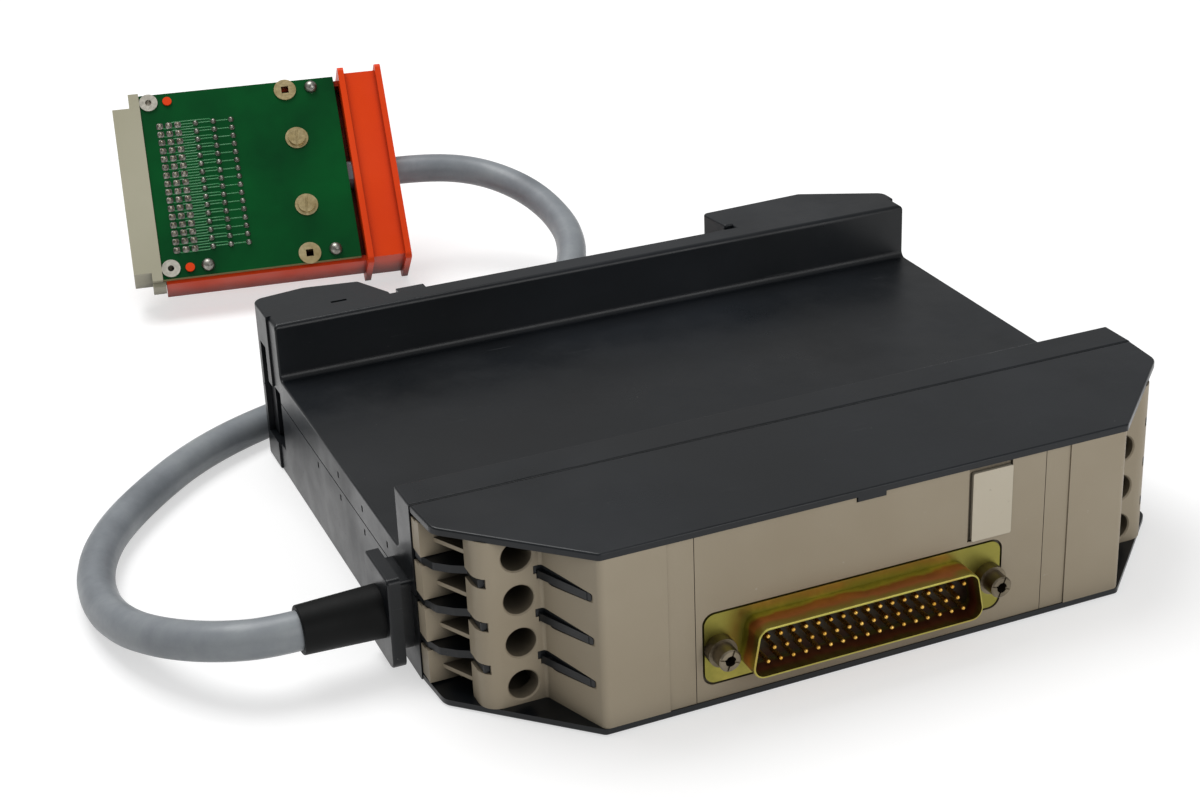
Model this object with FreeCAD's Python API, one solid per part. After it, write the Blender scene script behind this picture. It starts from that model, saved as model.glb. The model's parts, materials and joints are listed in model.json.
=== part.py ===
"""Cable adapter module for an automation rack, lying on its side.

A black housing in two half shells carries a beige front with a 50-way D-sub plug and two
four-way terminal blocks. A grey cable leaves a gland on the left end and ends in an orange
plug-in board with a 48-way connector. All sizes are in millimetres.

Plan coordinates: x along the front, y back from the front face, z up from the underside.
The whole assembly is moved by FRAME_SHIFT at the end, so that the origin is the bottom centre
of the module's box.
"""
import FreeCAD
import Part
import math
import os

V = FreeCAD.Vector

# ---------------------------------------------------------------- driving sizes: housing
LENGTH = 170.0            # end to end, along x
HEIGHT = 40.0             # side to side, the module's width when it is upright in the rack
SEAM_Y = 34.4             # groove between the front block and the housing rim
RIM_Y = 43.7              # back of the full-height rim
RIDGE_Y = 133.2           # front of the rear ridge
BACK_Y = 139.5            # rail seat, the flat back of the housing
LOBE_Y = 154.5            # back of the hook and of the latch housing
RECESS_Z = 26.0           # floor of the wide recess
SPLIT_Z = 19.5            # joint between the two half shells
WALL = 2.3                # moulded wall
GAP = 0.3                 # visible joint between mouldings
GROOVE = 0.3              # small groove between the half shells
VENT = 0.9                # width of the six small slots in the left end
SOFT_EDGE = 0.45          # small radius of the mouldings' outer edges
RECESS_FOOT = 1.6         # concave radius along the recess
BROW_R = 1.2              # rounded top edges of the recess
HALF = LENGTH / 2

# ---------------------------------------------------------------- driving sizes: front block
CHEEK_T = 1.5             # black side plate
FACE_HALF = HALF - 26.0   # half width of the flat face
SHOULDER_X = HALF - 1.5   # cheek corner at the end of its slanted edge
SHOULDER_Y = 24.0
SHOULDER_R = 4.0
PLATE_HALF = 39.6         # half width of the centre faceplate
STEP_X = 45.3             # step between the centre strips and the end blocks
FACE_Y = 0.3              # the centre of the face is set back by this
PLATE_T = 2.6             # faceplate
COVER_WALL = 2.0
COLUMN_X = HALF - 7.2     # outer side of the terminal column
COLUMN_Y = 15.6           # front of the terminal column
COLUMN_BACK = 22.6        # back of its outer side, in front of the tabs' pocket
SIDE_POCKET = 2.8         # how far that pocket goes in behind the column
VALLEY_X = HALF - 20.2    # foot of the oblique face
TAB_Y = 30.0              # front of the four terminal tabs
TAB_T = 1.6
TERMINAL_X = HALF - 15.4  # screw axis from the centre
TERMINAL_COUNT = 4
TERMINAL_EDGE = 0.9       # the four cells start this far from each side of the module
TERMINAL_PITCH = (HEIGHT - 2 * TERMINAL_EDGE) / TERMINAL_COUNT
TERMINAL_Z = TERMINAL_EDGE + TERMINAL_PITCH / 2
ACCESS_R = 3.15           # screwdriver hole
ACCESS_CHAMFER = 0.3
FIN_T = 1.7               # black divider between terminals
FIN_GAP = 0.2             # above and below a fin in its slot
RIB_T = 0.9               # wedge between a tab and the column
NOTCH = 1.9               # a fin's slot opens this far round the column's corner
PRY_TAB = (-4.2, 2.1)     # dark tab at the faceplate's top, x from, x to
SHELL_SCREW_R = 1.25
SHELL_SCREWS = [(-HALF + 15.0, 62.0), (-HALF + 15.0, 124.0), (HALF - 15.0, 62.0), (HALF - 15.0, 124.0)]

# ---------------------------------------------------------------- D-sub plug, 50 ways
DSUB_X = -4.2
DSUB_Z = 12.9
FLANGE_L = 66.93
FLANGE_H = 15.37
FLANGE_T = 0.8
LOCK_SPACING = 61.11      # between the two screw-locks
SHROUD_L = 52.81          # wide side, at the bottom
SHROUD_H = 11.07
SHROUD_T = 0.45
LIP_R = 0.25              # rounded lip of the shroud
SHROUD_OUT = 6.2          # in front of the flange
PIN_PITCH = 2.76
ROW_PITCH = 2.84
PIN_R = 0.5
PIN_OUT = 5.1
DSUB_SLOPE = 10.0         # degrees, the two slanted ends of the shroud
BODY_L = 54.6             # insulator behind the flange
BODY_H = 12.4
BODY_DEPTH = 7.4
BOARD_BACK_T = 1.6        # solder board behind the D-sub
BOARD_BACK_HALF = 36.0
LOCK_BORE_R = 1.12        # 4-40 UNC tapping size
LOCK_R = 1.45             # shank of a screw-lock
LABEL = (22.0, 31.3, DSUB_Z + FLANGE_H / 2 + 1.4, HEIGHT - 2.6)   # x from, x to, z from, z to

# ---------------------------------------------------------------- earth terminal, lowest on the left
SCREW_R = 1.6
HEAD_R = 2.75
HEAD_Y = 24.0             # front of the screw's head
HEAD_T = 2.2
CLAMP_PLATE_T = 1.2
BAR_Y = 27.4              # threaded bar
BAR_T = 2.4

# ---------------------------------------------------------------- 75 mm mounting rail
RAIL_W = 75.0
HOOK_WALL_X = 39.1        # the rail's right edge stands against this wall
HOOK_LIP = 2.1            # the hook reaches this far behind the rail
RAIL_SLOT = 2.9           # room for the rail's flange
NOSE_LIP = 2.6            # the latch nose reaches this far behind the rail
SLIDE_T = 4.0             # latch slide, front to back
SLIDE_CLEAR = 0.35        # each side of the slide in its channel
RAIL_PLAY = 0.6           # between the rail's right edge and the hook's wall
RAIL_LEFT_X = HOOK_WALL_X - RAIL_PLAY - RAIL_W
SLIDE_HEAD_X = RAIL_LEFT_X - 6.0      # right side of the slide's broad head
SLIDE_HEAD_T = 7.1
SLIDE_LOW = 7.5
SLIDE_HIGH = HEIGHT - 3.5
TAIL_HIGH = HEIGHT - 9.6  # the tail leaves room for the spring above it
SPRING_X = -HALF + WALL + 0.7         # end wall of the channel
SPRING_ROOM = 12.0        # the spring's length at rest
SPRING_Z = HEIGHT - 5.6
SPRING_R = 1.55
SLIDE_BACK_X = SPRING_X + SPRING_ROOM
STOP_LOW = 16.5           # small stop that keeps the slide in
STOP_HIGH = 21.5

# ---------------------------------------------------------------- cable and gland
CABLE_R = 4.1
GLAND_Y = 43.4
GLAND_Z = 13.0
GLAND_X = -HALF - 4.8     # outer plane of the gland plate
GLAND_T = 2.8
GLAND_LOW = 2.6
GLAND_HIGH = 23.4
GLAND_HALF = 7.5          # half width of the gland plate
JACKET_END_X = -HALF + 40.0           # the jacket is cut here, inside the housing
CLAMP_X = -HALF + 31.0    # inner cable clamp
CLAMP_SCREW_Y = CABLE_R + 4.5
BOOT_L = 16.7             # rubber boot, tapered
BOOT_ROOT_R = CABLE_R + 1.55
BOOT_END_R = CABLE_R + 1.0
BOOT_END_X = GLAND_X - BOOT_L

# ---------------------------------------------------------------- plug-in board
PLUG_YAW = -9.2           # degrees about z
PLUG_LEAN = 40.0          # degrees back from upright
PLUG_X = -83.3            # the first contact of the board
PLUG_Y = 250.3
GRID = 2.54
BOARD = (-4.8, 51.4, -8.3, 48.2)      # u from, u to, w from, w to
BOARD_T = 1.6
TRAY_DEPTH = 13.0         # behind the board's front face
RIM_T = 1.7               # rims of the orange handle
RIM_OUT = 1.7             # rims stand out of the handle's body all round
RIM_ROUND = 1.5
HANDLE_U = (52.9, 65.5)
HANDLE_W = (-9.4, 48.4)
HANDLE_D = (-14.4, 1.0)
ENTRY_W = 18.5            # the cable's place in the handle
ENTRY_D = -5.0
TRAY_U = -4.0             # left end of the tray's lower wall
TRAY_W = (-9.3, 47.4)
TRAY_WALL = 1.7
SOCKET_W = (-4.6, 41.8)   # inside of the connector
CONNECTOR_DEPTH = 10.2    # behind the board
CONNECTOR_RIVETS = [(-2.3, 45.7), (-2.3, -5.3)]
PEGS = [(3.0, 45.6), (3.0, -5.6)]
SOLDERED_POSTS = [(8.1, -5.4), (44.4, -5.2), (44.6, 45.6)]
CLAMP_SCREWS = [(38.3, 30.1), (38.1, 9.2)]
SQUARE_EYELETS = [(37.0, 45.4), (36.9, -5.6)]
CONTACT_COLUMNS = (0.0, GRID, 2 * GRID)
WIRE_COLUMNS = (4 * GRID, 6 * GRID, 8 * GRID)
ROWS = 16

FRONT_MOST = FACE_Y - SHROUD_OUT
FRAME_SHIFT = V(0, -(FRONT_MOST + LOBE_Y) / 2, 0)

parts = {}


# ---------------------------------------------------------------- helpers
def box(x0, x1, y0, y1, z0, z1):
    """A box between two corners."""
    return Part.makeBox(x1 - x0, y1 - y0, z1 - z0, V(x0, y0, z0))


def rod(start, end, r):
    """A cylinder from one point to another."""
    axis = V(*end) - V(*start)
    return Part.makeCylinder(r, axis.Length, V(*start), axis)


def cone(start, end, r0, r1):
    """A cone from one point to another."""
    axis = V(*end) - V(*start)
    return Part.makeCone(r0, r1, axis.Length, V(*start), axis)


def rounded_path(points, radii, closed):
    """Straight runs joined by tangent arcs, one radius for each point; 0 keeps it sharp."""
    pts = [V(*p) for p in points]
    n = len(pts)
    joints = []
    for i in range(n):
        here = pts[i]
        r = radii[i]
        if r <= 0 or (not closed and i in (0, n - 1)):
            joints.append((here, None, here))
            continue
        a = (pts[i - 1] - here).normalize()
        b = (pts[(i + 1) % n] - here).normalize()
        half = a.getAngle(b) / 2
        reach = r / math.tan(half)
        middle = here + (a + b).normalize() * (r / math.sin(half) - r)
        joints.append((here + a * reach, middle, here + b * reach))
    edges = []
    for i in range(n):
        first, middle, last = joints[i]
        if middle is not None:
            edges.append(Part.Arc(first, middle, last).toShape())
        if i == n - 1 and not closed:
            break
        following = joints[(i + 1) % n][0]
        if (following - last).Length > 1e-6:
            edges.append(Part.LineSegment(last, following).toShape())
    return Part.Wire(edges)


def prism(points, z0, z1, r=0.0):
    """A plan outline with one corner radius, or one for each point, raised from z0 to z1."""
    radii = r if isinstance(r, (list, tuple)) else [r] * len(points)
    wire = rounded_path([(x, y, z0) for x, y in points], radii, True)
    return Part.Face(wire).extrude(V(0, 0, z1 - z0))


def front_prism(points, y0, y1, r=0.0):
    """An outline in x and z, pushed back from y0 to y1."""
    radii = r if isinstance(r, (list, tuple)) else [r] * len(points)
    wire = rounded_path([(x, y0, z) for x, z in points], radii, True)
    return Part.Face(wire).extrude(V(0, y1 - y0, 0))


def side_prism(points, x0, x1, r=0.0):
    """An outline in y and z, pushed along x from x0 to x1."""
    radii = r if isinstance(r, (list, tuple)) else [r] * len(points)
    wire = rounded_path([(x0, y, z) for y, z in points], radii, True)
    return Part.Face(wire).extrude(V(x1 - x0, 0, 0))


def rect(x0, x1, y0, y1):
    """The four corners of a rectangle."""
    return [(x0, y0), (x1, y0), (x1, y1), (x0, y1)]


def soften(shape, r, chosen):
    """Round the edges that the test picks."""
    edges = [edge for edge in shape.Edges if edge.Length > 2.2 * r and chosen(edge)]
    return shape.makeFillet(r, edges)


def at_level(z):
    """Test for edges that lie in the plane of that height."""
    return lambda edge: abs(edge.BoundBox.ZMin - z) < 0.005 and abs(edge.BoundBox.ZMax - z) < 0.005


def mirrored(shape):
    """The same shape on the other side of the module's middle."""
    return shape.mirror(V(0, 0, 0), V(1, 0, 0))


def fused(shapes):
    """One solid from several that touch."""
    result = shapes[0].multiFuse(shapes[1:]) if len(shapes) > 1 else shapes[0]
    return result.removeSplitter()


def keep(name, shapes):
    """Store one node: a single solid, or several separate ones."""
    shapes = shapes if isinstance(shapes, list) else [shapes]
    solids = []
    for shape in shapes:
        solids += shape.Solids
    parts[name] = Part.makeCompound(solids) if len(solids) > 1 else solids[0]


# ---------------------------------------------------------------- the two half shells
def off_the_seat(z):
    """Test for a lobe's edges at that height, but for the one against the rail seat."""
    return lambda edge: at_level(z)(edge) and edge.BoundBox.YMax > BACK_Y + 0.1


def seam_brow(edge):
    """Test for the rim's front edge and its two end edges, along the top."""
    b = edge.BoundBox
    return at_level(HEIGHT)(edge) and b.YMax < RIM_Y + 0.1 and not (b.XLength > 100 and b.YMin > RIM_Y - 0.1)


def recess_end(edge):
    """Test for the profile of the recess at both ends of the housing: its floor and its two feet."""
    b = edge.BoundBox
    return b.XLength < 0.01 and b.ZMax < RECESS_Z + RECESS_FOOT + 0.01 and b.ZMin > RECESS_Z - 0.01


def recess_brow(edge):
    """Test for the two long edges along the top of the recess."""
    b = edge.BoundBox
    return at_level(HEIGHT)(edge) and b.XLength > 100 and min(abs(b.YMin - RIDGE_Y), abs(b.YMin - RIM_Y)) < 0.01


def lobe_outlines():
    """Plans of the latch housing on the left and of the fixed hook on the right."""
    mouth = SLIDE_HEAD_X - SLIDE_HEAD_T - 4.4
    latch = [(-HALF, BACK_Y), (mouth, BACK_Y), (mouth, BACK_Y + 1.5), (mouth - 4.7, LOBE_Y - 3.5),
             (-HALF + 13.0, LOBE_Y - 1.0), (-HALF, LOBE_Y - 2.9)]
    lip_x = HOOK_WALL_X - HOOK_LIP
    hook = [(HOOK_WALL_X, BACK_Y), (HOOK_WALL_X, BACK_Y + RAIL_SLOT),
            (lip_x, BACK_Y + RAIL_SLOT), (lip_x - 1.5, LOBE_Y - 1.4), (HALF - 20.3, LOBE_Y),
            (HALF, LOBE_Y - 10.1), (HALF, BACK_Y)]
    return latch, hook


def latch_channel():
    """The slide's way through the latch housing, with the spring's pocket and the stop's groove."""
    y0 = BACK_Y + RAIL_SLOT + 0.25
    y1 = y0 + SLIDE_T + 2 * SLIDE_CLEAR
    low = SLIDE_LOW - 0.5
    mouth = SLIDE_HEAD_X - SLIDE_HEAD_T - 0.4
    way = box(-HALF - 1, mouth, y0, y1, low, TAIL_HIGH + 0.6)
    tall = box(SPRING_X, mouth, y0, y1, low, SLIDE_HIGH + 0.5)
    groove = box(SLIDE_BACK_X - 9.0, SLIDE_BACK_X + 0.3, y1 - 0.01, y1 + 1.9, STOP_LOW - 0.5, STOP_HIGH + 0.5)
    pull = box(-HALF - 1, -HALF + 3.2, BACK_Y - 5.0, y1, low, 22.0)
    return [way, tall, groove, pull]


def build_shells():
    """Lower tray, and upper shell with the recess, the ridge, and both lobes in halves."""
    latch, hook = lobe_outlines()
    y_open = SEAM_Y + GAP
    body = box(-HALF + 0.5, HALF - 0.5, y_open, BACK_Y, 0, SPLIT_Z)
    body = soften(body, SOFT_EDGE, lambda edge: at_level(0)(edge) and edge.BoundBox.YMax < BACK_Y - 0.1)
    room = box(-HALF + WALL + 0.5, HALF - WALL - 0.5, y_open - 1, RIDGE_Y, 2.0, SPLIT_Z)
    lower = [body]
    for outline, radii in ((latch, [0, 0, 0.6, 1.2, 4, 3]), (hook, [0, 0, 0.6, 1.5, 2, 3, 0])):
        lower.append(soften(prism(outline, 0, SPLIT_Z, radii), SOFT_EDGE, off_the_seat(0)))
    base = fused(lower).cut(room)
    for cutter in latch_channel():
        base = base.cut(cutter)
    for y in (68.3, 85.8, 103.3):
        base = base.cut(box(-HALF, -HALF + 4, y, y + VENT, 16.4, 17.9))
    for side in (-1, 1):
        end = box(-1, GROOVE + 0.5, y_open - 1, BACK_Y, SPLIT_Z - GROOVE, SPLIT_Z + 1)
        lobe_end = box(-1, GROOVE, BACK_Y - 0.1, LOBE_Y - 4.0, SPLIT_Z - GROOVE, SPLIT_Z + 1)
        for groove in (end, lobe_end):
            groove.translate(V(-HALF, 0, 0))
            base = base.cut(groove if side < 0 else mirrored(groove))
    gland_hole = rod((-HALF - 1, GLAND_Y, GLAND_Z), (-HALF + 5, GLAND_Y, GLAND_Z), CABLE_R + 0.3)
    base = base.cut(gland_hole)
    bosses = []
    for x, y in SHELL_SCREWS:
        bosses.append(rod((x, y, 2.0), (x, y, SPLIT_Z), 3.6))
    base = fused([base] + bosses)
    for x, y in SHELL_SCREWS:
        base = base.cut(rod((x, y, -1), (x, y, SPLIT_Z + 1), 1.6))
        base = base.cut(rod((x, y, -1), (x, y, 4.0), 3.0))
    keep("base_shell", base)

    slab = box(-HALF + 0.5, HALF - 0.5, y_open, BACK_Y, SPLIT_Z, HEIGHT)
    recess = box(-HALF - 1, HALF + 1, RIM_Y, RIDGE_Y, RECESS_Z, HEIGHT + 1)
    foot = RECESS_FOOT
    for y_side, y_away in ((RIM_Y, RIM_Y + foot), (RIDGE_Y, RIDGE_Y - foot)):
        block = box(-HALF - 1, HALF + 1, min(y_side, y_away), max(y_side, y_away), RECESS_Z, RECESS_Z + foot)
        hollow = rod((-HALF - 2, y_away, RECESS_Z + foot), (HALF + 2, y_away, RECESS_Z + foot), foot)
        recess = recess.cut(block.cut(hollow))
    slab = soften(slab.cut(recess), SOFT_EDGE, seam_brow)
    slab = soften(slab, SOFT_EDGE, recess_end)
    upper = [slab]
    for outline, radii in ((latch, [0, 0, 0.6, 1.2, 4, 3]), (hook, [0, 0, 0.6, 1.5, 2, 3, 0])):
        upper.append(soften(prism(outline, SPLIT_Z, HEIGHT, radii), SOFT_EDGE, off_the_seat(HEIGHT)))
    top = fused(upper)
    top = top.cut(box(-HALF + WALL + 0.5, HALF - WALL - 0.5, RIM_Y - 3, RIDGE_Y, SPLIT_Z - 1, RECESS_Z - 2))
    top = top.cut(box(-HALF + WALL + 0.5, HALF - WALL - 0.5, y_open - 1, RIM_Y - WALL, SPLIT_Z - 1,
                      HEIGHT - 2))
    top = top.cut(box(-HALF + 4, HALF - 4, RIDGE_Y + 2, BACK_Y - 2.1, SPLIT_Z - 1, HEIGHT - 2.5))
    for cutter in latch_channel():
        top = top.cut(cutter)
    mark_x = -HALF + 16.5
    top = top.cut(box(mark_x, mark_x + 3.9, BACK_Y + 0.9, BACK_Y + 1.9, HEIGHT - 1.2, HEIGHT + 1))
    for y in (51.6, 68.8, 86.3):
        top = top.cut(box(-HALF, -HALF + 4, y, y + VENT, 21.8, 23.3))
    for x, y in SHELL_SCREWS:
        top = fused([top, rod((x, y, SPLIT_Z), (x, y, RECESS_Z - 1), 3.2)])
        top = top.cut(rod((x, y, SPLIT_Z - 1), (x, y, RECESS_Z - 1.5), SHELL_SCREW_R))
    top = soften(top, BROW_R, recess_brow)
    keep("top_shell", top)


def build_shell_screws():
    """Four self-tapping screws from below, their heads sunk in the base."""
    screws = []
    for x, y in SHELL_SCREWS:
        head = rod((x, y, 1.8), (x, y, 4.0), 2.8)
        slot = box(x - 2.2, x + 2.2, y - 0.35, y + 0.35, 1.0, 2.7)
        cross = box(x - 0.35, x + 0.35, y - 2.2, y + 2.2, 1.0, 2.7)
        shank = rod((x, y, 4.0), (x, y, RECESS_Z - 2.0), SHELL_SCREW_R)
        screws.append(fused([head.cut(slot).cut(cross), shank]))
    keep("shell_screws", screws)


# ---------------------------------------------------------------- rail latch
def build_latch():
    """Sprung slide that grips the left edge of the rail, and its coil spring."""
    nose_x = RAIL_LEFT_X + NOSE_LIP
    head_x = SLIDE_HEAD_X
    y0 = BACK_Y + RAIL_SLOT + 0.25 + SLIDE_CLEAR
    y1 = y0 + SLIDE_T
    back_x = SLIDE_BACK_X
    bar = box(back_x, head_x, y0, y1, SLIDE_LOW, SLIDE_HIGH)
    tail = box(-HALF + 1.4, back_x, y0, y1, SLIDE_LOW, TAIL_HIGH)
    head = box(head_x - SLIDE_HEAD_T, head_x, y0, y1 + 3.0, 4.0, SLIDE_HIGH)
    outline = [(head_x, y0), (nose_x, y0), (nose_x + 0.6, y0 + 0.8), (nose_x - 3.5, y1 + 2.0),
               (head_x, y1 + 3.0)]
    nose = prism(outline, 9.0, HEIGHT - 9.0)
    stop = box(back_x - 2.0, back_x, y1 - 0.01, y1 + 1.6, STOP_LOW, STOP_HIGH)
    slide = fused([bar, tail, head, nose, stop])
    grip = box(-HALF + 2.6, -HALF + 4.6, y0 - 1, y1 + 1, 11.0, TAIL_HIGH - 3.4)
    slide = slide.cut(grip)
    post = rod((back_x - 2.0, (y0 + y1) / 2, SPRING_Z), (back_x, (y0 + y1) / 2, SPRING_Z), 0.9)
    slide = fused([slide, post])
    keep("latch_slide", slide)

    mid_y = (y0 + y1) / 2
    start_x = SPRING_X
    length = SPRING_ROOM
    turns = 5.0
    wire_r = 0.3
    helix = Part.makeHelix((length - 2 * wire_r) / turns, length - 2 * wire_r, SPRING_R)
    ring = Part.Wire(Part.makeCircle(wire_r, V(SPRING_R, 0, 0), V(0, 1, 0)))
    coil = Part.Wire(helix).makePipeShell([ring], True, True)
    coil.rotate(V(0, 0, 0), V(0, 1, 0), 90)
    coil.translate(V(start_x + wire_r, mid_y, SPRING_Z))
    keep("latch_spring", coil)


# ---------------------------------------------------------------- front block
def cheek_outline():
    y_back = SEAM_Y
    half = [(-FACE_HALF, 0.0), (-SHOULDER_X, SHOULDER_Y), (-HALF + 0.7, y_back)]
    return half + [(-x, y) for x, y in reversed(half)]


def cover_outline():
    """Plan of the beige front moulding, with the valley and the column at each end."""
    half = [(-FACE_HALF, 0.0), (-VALLEY_X, COLUMN_Y), (-COLUMN_X, COLUMN_Y), (-COLUMN_X, SEAM_Y)]
    outline = half + [(-x, y) for x, y in reversed(half)]
    radii = [1.6, 0.8, 4.0, 0, 0, 4.0, 0.8, 1.6]
    return outline, radii


def terminal_z(i):
    return TERMINAL_Z + i * TERMINAL_PITCH


def divider_z(i):
    return TERMINAL_Z + (i + 0.5) * TERMINAL_PITCH


def fin_outline(clear):
    """Plan of one divider fin at the left end, grown by the clearance."""
    column = -COLUMN_X
    foot = -VALLEY_X
    face = -FACE_HALF
    return [(column - 6.2 - clear, SEAM_Y), (column - 6.0 - clear, SEAM_Y - 3.4 - clear),
            (column - 4.8, SEAM_Y - 7.0 - clear), (column - 2.0, SEAM_Y - 9.6 - clear),
            (column + 0.6 - clear, SEAM_Y - 11.2 - clear), (column + 0.7 - clear, COLUMN_Y + 1.5 - clear),
            (column + 2.0, COLUMN_Y + 1.4 - clear), (foot - 1.4, COLUMN_Y + 1.2 - clear),
            (face - 1.4 + clear, 3.6 - clear), (face + 0.4 + clear, 3.6 - clear),
            (face + 0.4 + clear, SEAM_Y)]


def slot_opening(z, clear):
    """Leaf-shaped opening in the oblique face, or the fin's own thicker part that fills it."""
    near = -FACE_HALF - 0.7 - clear
    valley = -VALLEY_X
    far = valley - 1.6 + clear
    outline = [(near, z + 0.9 - clear), (near, z - 0.9 + clear), (valley + 2.4, z - 1.5 + clear),
               (valley + 0.9, z - 1.8 + clear), (valley + 0.3 + clear, z - 1.0),
               (valley + clear, z + 0.1 + clear), (far, z + 0.1 + clear), (far, z + 1.9 - clear),
               (valley + 0.4, z + 1.9 - clear)]
    return front_prism(outline, 1.6 + 4 * clear, COLUMN_Y + 2.4 - clear, [0.4, 0.4, 1.5, 0.5, 0.3, 0, 0, 0, 0])


def left_terminal_end(cover):
    """Access holes, fin slots, tabs and ribs of the left end."""
    adds = []
    tab_x = -COLUMN_X - 6.4
    reach = TERMINAL_PITCH / 2 - FIN_T / 2 - FIN_GAP
    cover = cover.cut(box(-COLUMN_X - 1, -COLUMN_X + SIDE_POCKET, COLUMN_BACK, TAB_Y, CHEEK_T - 1,
                          HEIGHT - CHEEK_T + 1))
    for i in range(TERMINAL_COUNT):
        z = terminal_z(i)
        low = max(z - reach, CHEEK_T)
        high = min(z + reach, HEIGHT - CHEEK_T)
        adds.append(box(tab_x, -COLUMN_X + SIDE_POCKET + 1.0, TAB_Y, TAB_Y + TAB_T, low, high))
        adds.append(box(tab_x, -COLUMN_X, SEAM_Y - 1.6, SEAM_Y, low, high - 0.5))
        adds.append(box(tab_x, tab_x + 1.4, TAB_Y, SEAM_Y, low, high - 0.5))
        rib = [(-COLUMN_X - 3.6, TAB_Y + 0.2), (-COLUMN_X + SIDE_POCKET + 0.3, TAB_Y + 0.2),
               (-COLUMN_X + SIDE_POCKET + 0.3, COLUMN_BACK - 0.5), (-COLUMN_X + 0.5, COLUMN_BACK - 0.5)]
        adds.append(prism(rib, z - RIB_T, z))
    cover = fused([cover] + adds)
    for i in range(TERMINAL_COUNT - 1):
        z = divider_z(i)
        cover = cover.cut(prism(fin_outline(0.3), z - FIN_T / 2 - FIN_GAP, z + FIN_T / 2 + FIN_GAP))
        cover = cover.cut(slot_opening(z, 0.0))
        notch = box(-COLUMN_X - 1, -COLUMN_X + NOTCH, COLUMN_Y - 1, COLUMN_Y + 8, z - FIN_T / 2 - FIN_GAP,
                    z + FIN_T / 2 + FIN_GAP)
        cover = cover.cut(notch)
    for i in range(TERMINAL_COUNT):
        z = terminal_z(i)
        cover = cover.cut(rod((-TERMINAL_X, COLUMN_Y - 5, z), (-TERMINAL_X, SEAM_Y - 2.5, z), ACCESS_R))
        cover = cover.cut(cone((-TERMINAL_X, COLUMN_Y - 0.01, z), (-TERMINAL_X, COLUMN_Y + ACCESS_CHAMFER, z),
                               ACCESS_R + ACCESS_CHAMFER, ACCESS_R))
    return cover


def earth_pocket(clear):
    """Room of the lowest left terminal, with the conductor's way in over the rib."""
    high = divider_z(0) - FIN_T / 2 - FIN_GAP / 2 - clear
    room = box(-COLUMN_X + SIDE_POCKET + 0.5 + clear, -TERMINAL_X + 4.0 - clear, HEAD_Y - 4.4, SEAM_Y - 1.0,
               CHEEK_T + 0.5 + clear, high)
    way_in = box(-COLUMN_X - 1, -COLUMN_X + SIDE_POCKET + 1.0, COLUMN_BACK + 0.5, TAB_Y, TERMINAL_Z + 0.2, high)
    return fused([room, way_in])


def build_front():
    """Beige cover, black cheeks, divider fins and centre faceplate."""
    z0 = CHEEK_T
    z1 = HEIGHT - CHEEK_T
    outline, radii = cover_outline()
    cover = prism(outline, z0, z1, radii)
    side = VALLEY_X - 2.6
    inner = [(-FACE_HALF + 2.6, COVER_WALL), (-side, COLUMN_Y + 1.0), (-side, SEAM_Y + 1),
             (side, SEAM_Y + 1), (side, COLUMN_Y + 1.0), (FACE_HALF - 2.6, COVER_WALL)]
    cover = cover.cut(prism(inner, z0 + 1.2, z1 - 1.2))
    cover = cover.cut(box(-STEP_X, STEP_X, -1, FACE_Y, 0, HEIGHT))
    cover = cover.cut(box(-PLATE_HALF, PLATE_HALF, -1, FACE_Y + PLATE_T, z0 - 1, z1 + 1))
    ledges = []
    for side in (-1, 1):
        x0, x1 = sorted((side * (PLATE_HALF - 1.2), side * (PLATE_HALF + 2.0)))
        ledges.append(box(x0, x1, FACE_Y + PLATE_T, FACE_Y + PLATE_T + 1.6, z0 + 1.0, z1 - 1.0))
    cover = fused([cover] + ledges)
    cover = left_terminal_end(cover)
    cover = mirrored(left_terminal_end(mirrored(cover)))
    cover = cover.cut(earth_pocket(0.0))
    keep("front_cover", cover)

    fins = []
    for i in range(TERMINAL_COUNT - 1):
        z = divider_z(i)
        fin = prism(fin_outline(0.0), z - FIN_T / 2, z + FIN_T / 2, [0, 0.4, 1.5, 1.5, 0.5, 0.4, 0, 0, 0, 0, 0])
        behind = prism([(x, y + 0.2) for x, y in outline], z0, z1)
        fin = fused([fin, slot_opening(z, 0.15).common(behind)])
        for k in (i, i + 1):
            fin = fin.cut(rod((-TERMINAL_X, 0, terminal_z(k)), (-TERMINAL_X, SEAM_Y, terminal_z(k)),
                              ACCESS_R + 0.2))
        fins += [fin, mirrored(fin)]
    keep("terminal_fins", fins)

    cheek = cheek_outline()
    radii = [1.5, SHOULDER_R, 0, 0, SHOULDER_R, 1.5]
    lower = prism(cheek, 0, z0, radii)
    keep("cheek_bottom", soften(lower, SOFT_EDGE, at_level(0)))
    upper = prism(cheek, z1, HEIGHT, radii)
    tab = box(PRY_TAB[0], PRY_TAB[1], 0.0, FACE_Y + 1.0, z1 - 1.0, z1 + 0.1)
    keep("cheek_top", fused([soften(upper, SOFT_EDGE, at_level(HEIGHT)), tab]))


def flange_outline(grow):
    x0 = DSUB_X - FLANGE_L / 2 - grow
    x1 = DSUB_X + FLANGE_L / 2 + grow
    return rect(x0, x1, DSUB_Z - FLANGE_H / 2 - grow, DSUB_Z + FLANGE_H / 2 + grow)


def shroud_outline(grow):
    """D shape, wide at the bottom, with slanted ends."""
    half_h = SHROUD_H / 2 + grow
    wide = SHROUD_L / 2 + grow
    narrow = wide - 2 * half_h * math.tan(math.radians(DSUB_SLOPE))
    return [(DSUB_X - wide, DSUB_Z - half_h), (DSUB_X + wide, DSUB_Z - half_h),
            (DSUB_X + narrow, DSUB_Z + half_h), (DSUB_X - narrow, DSUB_Z + half_h)]


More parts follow.
